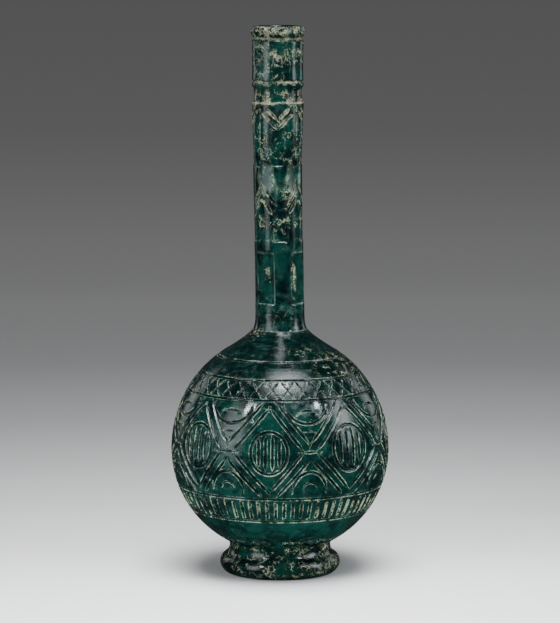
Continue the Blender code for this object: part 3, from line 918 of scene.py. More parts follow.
class ShapeTree(Nodes):
    """A Geometry Nodes tree with named inputs."""

    def __init__(self, name: str, inputs: dict[str, str]) -> None:
        """Makes the tree.

        Args:
            name: the tree's name.
            inputs: the kind of each named input.
        """
        super().__init__(bpy.data.node_groups.new(name, "GeometryNodeTree"))
        face = self.tree.interface
        face.new_socket("Geometry", in_out="INPUT", socket_type="NodeSocketGeometry")
        for label, kind in inputs.items():
            face.new_socket(label, in_out="INPUT", socket_type=f"NodeSocket{kind}")
        face.new_socket("Geometry", in_out="OUTPUT", socket_type="NodeSocketGeometry")
        self.inputs = self.add("NodeGroupInput").outputs

    def end(self, geometry: bpy.types.NodeSocket) -> "ShapeTree":
        """Sends the geometry out and returns the tree."""
        self.feed(self.add("NodeGroupOutput").inputs["Geometry"], geometry)
        return self

    def attribute(self, name: str) -> bpy.types.NodeSocket:
        """A number that the mesh holds under a name."""
        node = self.add("GeometryNodeInputNamedAttribute", {"Name": name}, data_type="FLOAT")
        return node.outputs["Attribute"]

    def store(self, geometry: object, name: str, value: object) -> bpy.types.NodeSocket:
        """The geometry with a number held under a name.

        Args:
            geometry: what holds the number.
            name: its name.
            value: its value at each point.

        Returns:
            The socket that gives the geometry.
        """
        inputs = {"Geometry": geometry, "Name": name, "Value": value}
        node = self.add("GeometryNodeStoreNamedAttribute", inputs, data_type="FLOAT", domain="POINT")
        return node.outputs["Geometry"]

    def around(self) -> tuple:
        """Position, radius, angle in radians and height of the points of a rolled surface.

        Returns:
            The four sockets.
        """
        position = self.add("GeometryNodeInputPosition").outputs[0]
        split = self.add("ShaderNodeSeparateXYZ", {0: position}).outputs
        squares = self.plus(self.math("POWER", split[0], 2.0), self.math("POWER", split[1], 2.0))
        radius = self.math("SQRT", squares)
        angle = self.math("ARCTAN2", split[0], self.times(split[1], -1.0))
        return position, radius, angle, split[2]

    def work(self, piece: bpy.types.Object, values: dict) -> None:
        """Puts the tree on a piece as a modifier with these values.

        Args:
            piece: what the tree works on.
            values: the inputs' values by their names.
        """
        modifier = piece.modifiers.new(self.tree.name, "NODES")
        modifier.node_group = self.tree
        for item in self.tree.interface.items_tree:
            if item.item_type == "SOCKET" and item.in_out == "INPUT" and item.name in values:
                modifier[item.identifier] = values[item.name]


def roll_up_tree() -> ShapeTree:
    """The tree that rolls the sheet up along the profile and closes its seam.

    Returns:
        The tree.
    """
    tree = ShapeTree("roll_up", {"Profile": "Object", "Seam": "Float"})
    sheet = tree.add("ShaderNodeSeparateXYZ", {0: tree.add("GeometryNodeInputPosition").outputs[0]}).outputs
    profile = tree.add("GeometryNodeObjectInfo", {"Object": tree.inputs["Profile"]}).outputs["Geometry"]
    curve = tree.add("GeometryNodeMeshToCurve", {"Mesh": profile}).outputs[0]
    sample = tree.add("GeometryNodeSampleCurve", {"Curves": curve, "Length": sheet[1]}, mode="LENGTH")
    spot = tree.add("ShaderNodeSeparateXYZ", {0: sample.outputs["Position"]}).outputs
    place = {
        "X": tree.times(spot[0], tree.math("SINE", sheet[0])),
        "Y": tree.times(tree.times(spot[0], tree.math("COSINE", sheet[0])), -1.0),
        "Z": spot[2],
    }
    rolled = tree.add("ShaderNodeCombineXYZ", place).outputs[0]
    kept = tree.store(tree.inputs["Geometry"], "run", sheet[1])
    placed = tree.add("GeometryNodeSetPosition", {"Geometry": kept, "Position": rolled}).outputs[0]
    closed = tree.add("GeometryNodeMergeByDistance", {"Geometry": placed, "Distance": tree.inputs["Seam"]})
    return tree.end(closed.outputs[0])


def grind_tree() -> ShapeTree:
    """The tree that grinds a row of flats round the neck.

    Returns:
        The tree.
    """
    numbers = ("Count", "Turn", "Top", "Ledge", "Top Distance", "Ledge Distance", "Step", "Wear", "Mouth")
    tree = ShapeTree("grind_facets", dict.fromkeys(numbers, "Float"))
    given = tree.inputs
    position, radius, angle, height = tree.around()
    half = tree.math("DIVIDE", math.pi, given["Count"])
    turned = tree.minus(angle, tree.math("RADIANS", given["Turn"]))
    own = tree.math("WRAP", turned, half, tree.times(half, -1.0))
    drop = tree.minus(given["Top"], height)
    share = tree.math("DIVIDE", drop, tree.minus(given["Top"], given["Ledge"]))
    gain = tree.minus(given["Ledge Distance"], given["Top Distance"])
    distance = tree.math("MULTIPLY_ADD", share, gain, given["Top Distance"])
    flat = tree.math("DIVIDE", distance, tree.math("COSINE", own))
    ground = tree.math("SMOOTH_MIN", radius, flat, given["Wear"])
    above_ledge = tree.ramp(height, tree.minus(given["Ledge"], given["Step"]), given["Ledge"])
    below_top = tree.ramp(height, given["Top"], tree.plus(given["Top"], given["Step"]), 1.0, 0.0)
    outside = tree.math("GREATER_THAN", tree.attribute("run"), given["Mouth"])
    inside = tree.times(outside, tree.times(above_ledge, below_top))
    cut = tree.minus(radius, flat)
    sides = tree.ramp(tree.math("ABSOLUTE", cut), 0.02 * MM, 0.13 * MM, 1.0, 0.0)
    sides = tree.times(sides, tree.ramp(share, 0.08, 0.3))
    slopes = [tree.times(mask, tree.minus(1.0, mask)) for mask in (above_ledge, below_top)]
    ends = tree.times(tree.times(tree.most(*slopes), 4.0), tree.ramp(cut, 0.05 * MM, 0.2 * MM))
    sides = tree.times(tree.times(sides, inside), 0.32)
    # The ridge mark on the flats' sides and ledges is made pale in the finish: wear and painted highlights on
    # these edges.
    ridge = tree.times(outside, tree.most(sides, ends))
    kept = tree.store(given["Geometry"], "ridge", tree.most(ridge, tree.attribute("ridge")))
    change = tree.times(inside, tree.minus(tree.least(ground, radius), radius))
    scale = tree.math("DIVIDE", tree.plus(radius, change), tree.most(radius, 1e-5))
    stretch = tree.add("ShaderNodeCombineXYZ", {0: scale, 1: scale, 2: 1.0}).outputs[0]
    moved = tree.vector("MULTIPLY", position, stretch)
    return tree.end(tree.add("GeometryNodeSetPosition", {"Geometry": kept, "Position": moved}).outputs[0])


def wheel_tree() -> ShapeTree:
    """The tree that measures the cuts which one wheel leaves along its guides.

    Returns:
        The tree.
    """
    numbers = ("Half Width", "Depth", "Roundness", "Dirt")
    tree = ShapeTree("wheel_cut", {"Guides": "Object"} | dict.fromkeys(numbers, "Float"))
    given = tree.inputs
    guides = tree.add("GeometryNodeObjectInfo", {"Object": given["Guides"]}).outputs["Geometry"]
    near = tree.add("GeometryNodeProximity", {0: guides}, target_element="EDGES").outputs["Distance"]
    index = tree.add("GeometryNodeSampleNearest", {"Geometry": guides}, domain="POINT").outputs[0]
    held = {"Geometry": guides, "Value": tree.attribute("fullness"), "Index": index}
    full = tree.add("GeometryNodeSampleIndex", held, data_type="FLOAT").outputs[0]
    width = tree.times(given["Half Width"], full)
    away = tree.math("DIVIDE", near, tree.most(width, 1e-6))
    inside = tree.least(away, 1.0)
    curve = tree.math("POWER", given["Roundness"], 2.0)
    edge = tree.math("SQRT", tree.plus(curve, 1.0))
    here = tree.math("SQRT", tree.plus(curve, tree.math("POWER", inside, 2.0)))
    shape = tree.math("DIVIDE", tree.minus(edge, here), tree.minus(edge, given["Roundness"]))
    depth = tree.times(tree.times(given["Depth"], full), shape)
    # The groove mark later sets crust in the cut and painted shade down its middle.
    groove = tree.most(tree.minus(1.0, away), -1.0)
    groove = tree.minus(tree.times(tree.plus(groove, 1.0), given["Dirt"]), 1.0)
    # The rim of a clean hollow is marked as a ridge and made pale in the finish: wear and a painted glint
    # along its edge.
    rim = tree.ramp(tree.math("ABSOLUTE", tree.minus(away, 1.0)), 0.02, 0.12, 0.7, 0.0)
    rim = tree.times(rim, tree.minus(1.0, given["Dirt"]))
    kept = tree.store(given["Geometry"], "ridge", tree.most(rim, tree.attribute("ridge")))
    kept = tree.store(kept, "sink", tree.most(depth, tree.attribute("sink")))
    return tree.end(tree.store(kept, "groove", tree.most(groove, tree.attribute("groove"))))


def finish_tree() -> ShapeTree:
    """The tree that sinks the cuts, makes the glass a little uneven, leans the neck and sets the finish.

    Returns:
        The tree.
    """
    numbers = ("Mouth", "Unevenness", "Wave", "Lean", "Lean Foot", "Lean Top")
    tree = ShapeTree("finish_glass", dict.fromkeys(numbers, "Float") | {"Finish": "Material"})
    given = tree.inputs
    normal = tree.add("GeometryNodeInputNormal").outputs[0]
    position = tree.add("GeometryNodeInputPosition").outputs[0]
    noise = {"Vector": position, "Scale": given["Wave"], "Detail": 1.0}
    wave = tree.add("ShaderNodeTexNoise", noise).outputs[0]
    outside = tree.math("GREATER_THAN", tree.attribute("run"), given["Mouth"])
    standing = tree.ramp(tree.around()[3], 0.2 * MM, 1.2 * MM)
    uneven = tree.times(tree.times(wave, given["Unevenness"]), tree.times(outside, standing))
    inward = tree.times(tree.plus(tree.attribute("sink"), uneven), -1.0)
    offset = tree.add("ShaderNodeVectorMath", {0: normal, "Scale": inward}, operation="SCALE").outputs[0]
    sunk = tree.add("GeometryNodeSetPosition", {"Geometry": given["Geometry"], "Offset": offset}).outputs[0]
    lean = tree.ramp(tree.around()[3], given["Lean Foot"], given["Lean Top"])
    aside = tree.times(tree.times(lean, given["Lean"]), -1.0)
    shift = tree.add("ShaderNodeCombineXYZ", {0: aside}).outputs[0]
    leant = tree.add("GeometryNodeSetPosition", {"Geometry": sunk, "Offset": shift}).outputs[0]
    smooth = tree.add("GeometryNodeSetShadeSmooth", {"Geometry": leant}).outputs[0]
    real = tree.add("GeometryNodeRealizeInstances", {"Geometry": smooth}).outputs[0]
    finished = tree.add("GeometryNodeSetMaterial", {"Geometry": real, "Material": given["Finish"]})
    return tree.end(finished.outputs[0])


@dataclass(frozen=True)
class Deposit:
    """A patch where weathering gathers, also used to lay painted glow, sheen and highlights: where it lies,
    how far it reaches and how strong it is.

    Its height and how tall it is are in millimetres, and its angle and how far it reaches across in degrees.
    """

    angle: float
    height: float
    across: float
    tall: float
    strength: float


def deposits(*rows: tuple) -> tuple[Deposit, ...]:
    """Patches from rows of angle, height, reach across, reach up and strength."""
    return tuple(Deposit(*row) for row in rows)


class Skin(Nodes):
    """The nodes of the glass, with the patterns that its colour, gloss and relief share.

    Each noise is given as its scale and detail, and the brushed zone as heights where it fades in and out.
    """

    HELD = ("groove", "crust", "haze", "packed", "ridge", "thin")
    CLOUD = (130.0, 3.0)
    PATCH = (330.0, 5.0)
    GRAIN = (1400.0, 3.0)
    STREAK = (190.0, 5.0)
    SMALL = (800.0, 4.0)
    DUST = (1900.0, 2.0)
    FINE = (2600.0, 2.0)
    BEND = (300.0, 2.0)
    STREAK_STRETCH = (1.0, 1.0, 10.0)
    BRUSHED = (0.078, 0.088, 0.106, 0.112)

    def __init__(self, tree: bpy.types.NodeTree) -> None:
        """Adds the place on the glass, the noises, and the numbers that the mesh holds.

        Args:
            tree: the material's empty tree.
        """
        super().__init__(tree)
        self.place = self.add("ShaderNodeTexCoord").outputs["Object"]
        numbers = (self.add("ShaderNodeAttribute", attribute_name=name).outputs["Fac"] for name in self.HELD)
        self.groove, self.crust, self.haze, self.packed, self.ridge, self.thin = numbers
        self.cloud, self.patch, self.grain = map(self.noise, (self.CLOUD, self.PATCH, self.GRAIN))
        self.streak = self.noise(self.STREAK, self.vector("MULTIPLY", self.place, self.STREAK_STRETCH))
        height = self.add("ShaderNodeSeparateXYZ", {0: self.place}).outputs[2]
        rise, full, fall, none = self.BRUSHED
        self.brushed = self.times(self.ramp(height, rise, full), self.ramp(height, fall, none, 1.0, 0.0))

    def noise(self, kind: Point, place: object = None, output: str = "Fac") -> bpy.types.NodeSocket:
        """A noise, from about 0.2 to 0.8.

        Args:
            kind: its scale and detail.
            place: where it is read, if not at the place on the glass.
            output: Fac for a number, Color for a direction.

        Returns:
            The socket that gives it.
        """
        inputs = {"Vector": place or self.place, "Scale": kind[0], "Detail": kind[1]}
        if output == "Fac":
            inputs["Roughness"] = 0.6
        return self.add("ShaderNodeTexNoise", inputs).outputs[output]

    def mixed(self, share: object, first: object, second: object) -> bpy.types.NodeSocket:
        """Two colours mixed.

        Args:
            share: 0 for the first colour, 1 for the second.
            first: the first colour.
            second: the second colour.

        Returns:
            The socket that gives the mix.
        """
        node = self.add("ShaderNodeMix", data_type="RGBA")
        for index, value in ((0, share), (6, first), (7, second)):
            self.feed(node.inputs[index], value)
        return node.outputs[2]


@dataclass(frozen=True)
class GlassFinish:
    """Dark green glass with cream weathering in its cuts and a milky haze on its skin; its colour also holds
    painted shade, painted glints, painted sheen and painted glow.
    """

    deep: tuple = (0.0005, 0.009, 0.010, 1.0)
    # Brighter green, reached through random clouds and through the painted glow patches.
    bright: tuple = (0.004, 0.074, 0.056, 1.0)
    # Dark tone for the shoulder streaks and for painted shade down the cuts.
    dirt: tuple = (0.0015, 0.015, 0.013, 1.0)
    # Milky tone for haze and for painted sheen.
    haze: tuple = (0.10, 0.19, 0.19, 1.0)
    # Pale tone for worn rims and for painted glints along the cut edges.
    worn_and_glint: tuple = (0.46, 0.64, 0.48, 1.0)
    # Cream crust, also laid as painted highlights on the lip top and the crease bands.
    crust: tuple = (0.86, 0.80, 0.50, 1.0)
    crust_dark: tuple = (0.13, 0.15, 0.08, 1.0)
    transmission: float = 0.45
    ior: float = 1.5
    polish: float = 0.05
    crust_roughness: float = 0.75
    web_scale: float = 430.0
    web_bend: float = 0.0025
    pit_scale: float = 900.0
    bump_strength: float = 0.6
    bump_distance: float = 0.00012

    def material(self, name: str) -> bpy.types.Material:
        """Builds the material.

        Args:
            name: the material's name.

        Returns:
            The material.
        """
        made = bpy.data.materials.new(name)
        made.use_nodes = True
        made.node_tree.nodes.clear()
        skin = Skin(made.node_tree)
        # Milky skin: haze, and painted sheen where the lamps would reflect.
        milk_and_sheen = skin.times(skin.ramp(skin.math("MULTIPLY_ADD", skin.haze, 0.3, skin.patch), 0.5, 0.9), 0.42)
        edge, cover = self.wear_and_glint_edge(skin), self.cover(skin)
        # Pale rims over the glass: wear and painted glints.
        glass = skin.mixed(edge, self.glass(skin, milk_and_sheen), self.worn_and_glint)
        grime = skin.plus(skin.noise(skin.FINE), skin.minus(skin.patch, 0.5))
        # Crust colour where the cover lies, with painted highlights among it on the lip and crease bands.
        tone = skin.mixed(skin.ramp(grime, 0.35, 0.72), self.crust_dark, self.crust)
        smear = skin.plus(self.polish, skin.ramp(skin.patch, 0.45, 0.62, 0.0, 0.10))
        dull = skin.plus(smear, skin.plus(skin.times(milk_and_sheen, 0.45), skin.times(edge, 0.3)))
        shader = skin.add("ShaderNodeBsdfPrincipled", {
            "Base Color": skin.mixed(cover, glass, tone),
            "Roughness": skin.most(dull, skin.times(cover, self.crust_roughness)),
            "Normal": self.relief(skin, cover),
            "IOR": self.ior,
            "Transmission Weight": self.transmission,
        }).outputs[0]
        skin.add("ShaderNodeOutputMaterial", {"Surface": shader})
        made.diffuse_color = self.bright
        return made

    def glass(self, skin: Skin, milk_and_sheen: object) -> bpy.types.NodeSocket:
        """The colour of the glass, without crust and wear; it holds painted glow where light would shine
        through, painted sheen on the milky patches, and painted shade down the cuts and on the shoulder.

        Args:
            skin: the nodes of the glass.
            milk_and_sheen: how milky the skin is, with painted sheen where the lamps would reflect.

        Returns:
            The socket that gives the colour.
        """
        clear = skin.ramp(skin.math("MULTIPLY_ADD", skin.patch, 0.35, skin.cloud), 0.53, 0.82)
        # The glow patches lift the colour towards the bright green: a painted glow of light through the
        # glass.
        depth = skin.math("MULTIPLY_ADD", clear, 0.75, skin.times(skin.thin, 0.4))
        glass = skin.mixed(skin.least(depth, 1.0), self.deep, self.bright)
        # Dark streaks across the brushed shoulder: streaks in the glass, and painted shade that darkens the
        # shoulder.
        dark_streaks_and_shade = skin.times(skin.brushed, skin.ramp(skin.streak, 0.47, 0.60, 0.9, 0.0))
        glass = skin.mixed(dark_streaks_and_shade, glass, self.dirt)
        pale_streaks = skin.times(skin.brushed, skin.ramp(skin.streak, 0.59, 0.68, 0.0, 0.4))
        # Milky haze and painted sheen over the glass.
        glass = skin.mixed(skin.most(milk_and_sheen, pale_streaks), glass, self.haze)
        # Darker down the middle of the cuts: dirt, and painted shade where the groove lies in shadow.
        return skin.mixed(skin.times(skin.ramp(skin.groove, 0.15, 0.7), 0.75), glass, self.dirt)

    def wear_and_glint_edge(self, skin: Skin) -> bpy.types.NodeSocket:
        """How pale the glass is along the rims of cuts and flats: wear, and painted glints along these edges.

        Args:
            skin: the nodes of the glass.

        Returns:
            The socket that gives it, 0 to 1.
        """
        edge = skin.times(skin.ramp(skin.groove, -0.22, -0.02), skin.ramp(skin.groove, 0.05, 0.25, 1.0, 0.0))
        edge = skin.times(skin.most(edge, skin.ridge), skin.ramp(skin.patch, 0.40, 0.56, 0.25, 0.95))
        return skin.times(edge, skin.ramp(skin.cloud, 0.40, 0.60, 0.3, 1.0))

    def cover(self, skin: Skin) -> bpy.types.NodeSocket:
        """How much of the glass the crust covers: in the cuts, on the skin, as scribbles and as specks; the
        thin bands on the lip top, the band's upper edge and the lower ledge are painted highlights as well.

        Args:
            skin: the nodes of the glass.

        Returns:
            The socket that gives it, 0 to 1.
        """
        rim = skin.times(skin.ramp(skin.groove, -0.16, 0.02), skin.ramp(skin.groove, 0.28, 0.48, 1.0, 0.0))
        filled = skin.times(skin.ramp(skin.groove, -0.1, 0.15), skin.ramp(skin.packed, 0.55, 0.95, 0.0, 0.9))
        rim = skin.times(rim, skin.ramp(skin.cloud, 0.38, 0.58, 0.35, 1.0))
        broken = skin.plus(skin.times(skin.patch, 0.5), skin.times(skin.grain, 0.5))
        level = skin.math("MULTIPLY_ADD", skin.packed, -0.13, 0.54)
        in_cuts = skin.times(skin.most(rim, filled), skin.ramp(broken, level, skin.plus(level, 0.09)))
        small = skin.plus(skin.times(skin.noise(skin.SMALL), 0.4), skin.times(skin.patch, 0.25))
        small = skin.plus(small, skin.times(skin.noise(skin.DUST), 0.35))
        level = skin.math("MULTIPLY_ADD", skin.crust, -0.20, 0.655)
        on_skin = skin.ramp(small, level, skin.plus(level, 0.10))
        sway = skin.vector("MULTIPLY", skin.noise(skin.BEND, output="Color"), (self.web_bend,) * 3)
        web = {"Vector": skin.vector("ADD", skin.place, sway), "Scale": self.web_scale}
        web = skin.add("ShaderNodeTexVoronoi", web, feature="DISTANCE_TO_EDGE").outputs["Distance"]
        scribble = skin.times(skin.ramp(web, 0.02, 0.07, 1.0, 0.0), skin.ramp(skin.patch, 0.48, 0.58))
        scribble = skin.times(scribble, skin.ramp(skin.crust, 0.25, 0.5, 0.0, 0.8))
        speck = skin.ramp(skin.plus(skin.times(skin.grain, 0.75), skin.times(skin.streak, 0.25)), 0.64, 0.70)
        cover = skin.most(skin.most(in_cuts, on_skin), skin.times(speck, 0.4))
        return skin.times(skin.most(cover, scribble), 0.9)

    def relief(self, skin: Skin, cover: object) -> bpy.types.NodeSocket:
        """The fine relief: pits, scratches, crust and the feel of the cuts.

        Args:
            skin: the nodes of the glass.
            cover: how much of the glass the crust and its painted highlights cover.

        Returns:
            The socket that gives the bent normal.
        """
        pits = skin.add("ShaderNodeTexVoronoi", {"Vector": skin.place, "Scale": self.pit_scale})
        pitted = skin.times(skin.ramp(pits.outputs["Distance"], 0.0, 0.25), 0.4)
        scratched = skin.times(skin.streak, skin.math("MULTIPLY_ADD", skin.brushed, 0.6, 0.08))
        scratched = skin.plus(scratched, skin.times(skin.patch, 0.55))
        relief = skin.plus(skin.plus(pitted, scratched), skin.times(cover, 0.5))
        relief = skin.plus(relief, skin.ramp(skin.groove, -0.05, 0.3, 1.0, 0.0))
        inputs = {"Strength": self.bump_strength, "Distance": self.bump_distance, "Height": relief}
        return skin.add("ShaderNodeBump", inputs).outputs[0]


@dataclass
class CutGlassBottle:
    """The whole bottle as one hollow piece of glass."""

    globe: Globe = field(default_factory=Globe)
    neck: Neck = field(default_factory=Neck)
    foot: Foot = field(default_factory=Foot)
    finish: GlassFinish = field(default_factory=GlassFinish)
    fine: float = 0.9 * MM
    offsets: tuple = (-1.3, -1.0, -0.5, 0.0, 0.5, 1.0, 1.3)
    lens_offsets: tuple = (-1.0, -0.5, 0.0, 0.5, 1.0)
    guide_spacing: float = 0.45 * MM
    clearance: float = 0.5
    weld: float = 0.17 * MM
    crease_steps: tuple = (-0.6, -0.3, 0.0, 0.3, 0.6)
    crease_pitch: float = 0.8 * MM
    ledge_steps: tuple = (-0.62, -0.42, -0.21, 0.0, 0.25, 0.5)
    ledge_pitch: float = 0.6 * MM
    beside_sides: tuple = (-2.5, 0.0, 2.5)
    seam_weld: float = 0.01 * MM
    unevenness: float = 0.22 * MM
    wave: float = 70.0
    # Crust patches; the thin all-round bands at 239.6 mm (lip top), 234.5 mm (band edge) and 147 mm (lower
    # ledge) are painted highlights as well as crust.
    crusts_and_highlights: tuple = deposits(
        (0, 237.5, ALL_ROUND, 3.4, 0.98), (0, 239.6, ALL_ROUND, 0.9, 1.0), (0, 234.5, ALL_ROUND, 0.8, 1.35),
        (0, 228, ALL_ROUND, 6.0, 0.78), (-20, 220, 60, 8.0, 0.62), (0, 215.9, ALL_ROUND, 0.7, 1.25),
        (0, 210.5, ALL_ROUND, 3.0, 0.9), (0, 206.9, ALL_ROUND, 0.7, 1.35), (0, 190, ALL_ROUND, 24.0, 0.44),
        (-70, 183, 30, 5.0, 0.7), (75, 184, 30, 5.0, 0.7), (17, 167, 13, 6.0, 1.0), (-40, 166, 22, 4.5, 0.7),
        (3, 154, 40, 5.0, 0.85), (0, 156, ALL_ROUND, 6.0, 0.55), (-30, 133, 12, 5.0, 1.0),
        (40, 131, 11, 12.0, 1.1), (0, 147, ALL_ROUND, 1.0, 0.6), (0, 114, ALL_ROUND, 8.0, 0.35),
        (-60, 106, 50, 3.0, 0.75), (20, 100, 60, 5.0, 0.4), (60, 94, 45, 6.0, 0.65), (-50, 90, 40, 5.0, 0.4),
        (180, 92, 90, 7.0, 0.5), (-72, 82, 24, 6.0, 0.4), (-12, 42, 20, 5.0, 0.3),
        (0, 17, ALL_ROUND, 2.2, 0.4), (0, 12.0, ALL_ROUND, 1.4, 0.7), (-25, 12.6, 16, 1.0, 1.1),
        (22, 12.8, 22, 1.1, 1.1), (62, 12.0, 25, 2.5, 1.0), (66, 6, 40, 5.5, 0.95), (-30, 7, 60, 4.0, 0.6),
        (0, 6, ALL_ROUND, 6.0, 0.6), (20, 2.2, 70, 1.8, 0.95), (190, 7, 60, 5.0, 0.7),
    )
    packed: tuple = deposits(
        (0, 202, ALL_ROUND, 9.0, 0.92), (-45, 166, 45, 10.0, 0.95), (40, 166, 40, 10.0, 0.8),
        (180, 166, 60, 10.0, 0.8), (0, 94, ALL_ROUND, 4.0, 0.3), (0, 34, ALL_ROUND, 7.5, 0.64),
        (42, 34, 40, 7.0, 1.0), (-10, 35, 30, 6.0, 0.8), (200, 36, 70, 6.0, 0.9), (-75, 62, 22, 20.0, 0.8),
        (80, 58, 22, 20.0, 0.7), (-5, 50, 22, 8.0, 0.45), (18, 66, 10, 8.0, 0.45), (150, 60, 60, 25.0, 0.4),
    )
    # Painted glow: patches where the glass colour is lifted towards the bright green, standing in for light
    # shining through the glass.
    painted_glows: tuple = deposits(
        (4, 34, 34, 18.0, 1.0), (-8, 62, 30, 14.0, 0.7), (-28, 130, 14, 14.0, 1.0), (42, 130, 14, 14.0, 0.8),
        (5, 190, 30, 14.0, 0.5), (10, 226, 40, 8.0, 0.5), (170, 50, 70, 30.0, 0.6),
    )
    # Milky haze patches that are also painted sheen: they lie on the lens flat, the neck's left side and the
    # globe's top and left, where the lamps would reflect.
    hazes_and_sheens: tuple = deposits(
        (-31, 175, 16, 8.0, 0.7), (0, 205, 18, 3.5, 0.8), (-35, 222, 30, 10.0, 0.6),
        (0, 96, ALL_ROUND, 9.0, 0.2), (12, 78, 16, 5.0, 0.9), (-42, 60, 22, 18.0, 0.55),
        (-50, 42, 30, 8.0, 0.4), (0, 116, ALL_ROUND, 8.0, 0.3), (150, 60, 40, 20.0, 0.4),
    )

    def profile(self) -> Profile:
        """The turned profile of the glass.

        Returns:
            The profile.
        """
        inside = self.globe.inside((self.neck.bore, self.neck.foot)) + self.neck.inside()
        outside = self.neck.outside() + self.globe.outside(self.neck.end()) + self.foot.outside()
        return Profile(inside, outside)

    def pitch(self, profile: Profile) -> Callable[[np.ndarray], np.ndarray]:
        """The spacing of the plain points along the profile.

        Args:
            profile: the glass's profile.

        Returns:
            A function that gives the spacing at runs.
        """
        neck_foot = profile.run_at(self.neck.foot)
        waist = profile.run_at(self.foot.waist_height)
        mouth, end = profile.mouth, profile.length
        stations = [0, mouth - 4 * MM, mouth - 1.5 * MM, neck_foot, neck_foot + 3 * MM]
        stations += [waist - 2 * MM, waist, end - 24 * MM, end - 16 * MM, end]
        sizes = np.array([3.2, 3.0, 0.8, 0.85, 1.25, 1.25, 1.0, 1.0, 2.2, 1.2]) * MM
        return lambda run: np.interp(run, stations, sizes)

    def sheet(self, profile: Profile, strokes: list[Stroke]) -> bpy.types.Mesh:
        """The flat mesh with its points along every stroke and crease.

        Args:
            profile: the glass's profile.
            strokes: every stroke.

        Returns:
            The mesh.
        """
        sheet = Sheet(profile, self.pitch(profile))
        for stroke in strokes:
            offsets = self.lens_offsets if stroke.wheel is Wheel.LENS else self.offsets
            sheet.follow(stroke, self.fine, offsets)
        for facet in self.neck.facets():
            self.mark_facets(sheet, profile, facet)
        for z in self.neck.creases():
            for step in self.crease_steps:
                sheet.row(profile.run_at(z) + step * MM, self.crease_pitch)
        return sheet.build("cut_glass_bottle", self.clearance, self.weld)

    def mark_facets(self, sheet: Sheet, profile: Profile, facet: Facet) -> None:
        """Adds lines of points along the sides and ledges of a row of flats.

        Args:
            sheet: where the points go.
            profile: the glass's profile.
            facet: the row of flats.
        """
        heights = np.linspace(facet.top, facet.ledge, 40)
        share = (facet.top - heights) / (facet.top - facet.ledge)
        distance = facet.top_distance + (facet.ledge_distance - facet.top_distance) * share
        runs = np.array([profile.run_at(z) for z in heights])
        half = np.degrees(np.arccos(np.minimum(1.0, distance / profile.radius(runs))))
        for k in range(facet.count):
            centre = facet.turn + FULL_TURN / facet.count * k
            for side in (-1, 1):
                for beside in self.beside_sides:
                    sheet.angles.append(centre + side * half + beside)
                    sheet.runs.append(runs)
        for z in (facet.top, facet.ledge):
            for step in self.ledge_steps:
                sheet.row(profile.run_at(z + step * MM), self.ledge_pitch)

    def guide(self, name: str, sheet: Sheet, strokes: list[Stroke]) -> bpy.types.Object:
        """The paths of some strokes as one mesh of edges, with their fullness at its points.

        Args:
            name: the guide's name.
            sheet: the sheet that the paths lie on.
            strokes: the strokes of one wheel.

        Returns:
            The guide.
        """
        points, edges, fullness = [], [], []
        for stroke in strokes:
            angles, runs, share = sheet.resampled(stroke, self.guide_spacing)
            first = len(points)
            points += [(math.radians(a), run, 0.0) for a, run in zip(angles, runs)]
            edges += [(first + i, first + i + 1) for i in range(len(angles) - 1)]
            fullness += list(stroke.fullness(share))
        mesh = bpy.data.meshes.new(name)
        mesh.from_pydata(points, edges, [])
        mesh.attributes.new("fullness", "FLOAT", "POINT").data.foreach_set("value", fullness)
        return self.shown(name, mesh)

    def guides(self, profile: Profile, strokes: list[Stroke]) -> dict[Wheel, bpy.types.Object]:
        """The guides of every wheel.

        Args:
            profile: the glass's profile.
            strokes: every stroke.

        Returns:
            The guide of each wheel.
        """
        sheet = Sheet(profile, self.pitch(profile))
        made = {}
        for wheel in Wheel:
            own = [stroke for stroke in strokes if stroke.wheel is wheel]
            made[wheel] = self.guide(f"guides_{wheel.name.lower()}", sheet, own)
        return made

    def line(self, profile: Profile) -> bpy.types.Object:
        """The profile as a mesh of edges, along which the sheet is rolled up.

        Args:
            profile: the glass's profile.

        Returns:
            The line.
        """
        mesh = bpy.data.meshes.new("profile")
        points = [(radius, 0.0, z) for radius, z in profile.points]
        mesh.from_pydata(points, [(i, i + 1) for i in range(len(points) - 1)], [])
        return self.shown("profile", mesh)

    def shown(self, name: str, mesh: bpy.types.Mesh) -> bpy.types.Object:
        """A new object in the scene.

        Args:
            name: the object's name.
            mesh: its mesh.

        Returns:
            The object.
        """
        made = bpy.data.objects.new(name, mesh)
        bpy.context.scene.collection.objects.link(made)
        return made

    def weather_and_painted_light(self, mesh: bpy.types.Mesh, profile: Profile) -> None:
        """Holds on each point of the sheet how much crust and haze gathers there, and where painted glow,
        painted sheen and painted highlights lie.

        Args:
            mesh: the flat mesh.
            profile: the glass's profile.
        """
        places = np.empty(len(mesh.vertices) * 3)
        mesh.vertices.foreach_get("co", places)
        angles, runs = np.degrees(places[0::3]), places[1::3]
        heights = profile.height(runs)
        outside = runs > profile.mouth
        none = np.zeros(len(runs))
        gathered = {"sink": none, "ridge": none, "groove": none - 1.0}
        tables = {"crust": self.crusts_and_highlights, "packed": self.packed, "thin": self.painted_glows, "haze": self.hazes_and_sheens}
        for name, patches in tables.items():
            gathered[name] = none
            for patch in patches:
                turn = (angles - patch.angle + HALF_TURN) % FULL_TURN - HALF_TURN
                far = (turn / patch.across) ** 2 + ((heights / MM - patch.height) / patch.tall) ** 2
                gathered[name] = np.maximum(gathered[name], patch.strength * np.exp(-far) * outside)
        for name, values in gathered.items():
            mesh.attributes.new(name, "FLOAT", "POINT").data.foreach_set("value", values.astype(np.float32))

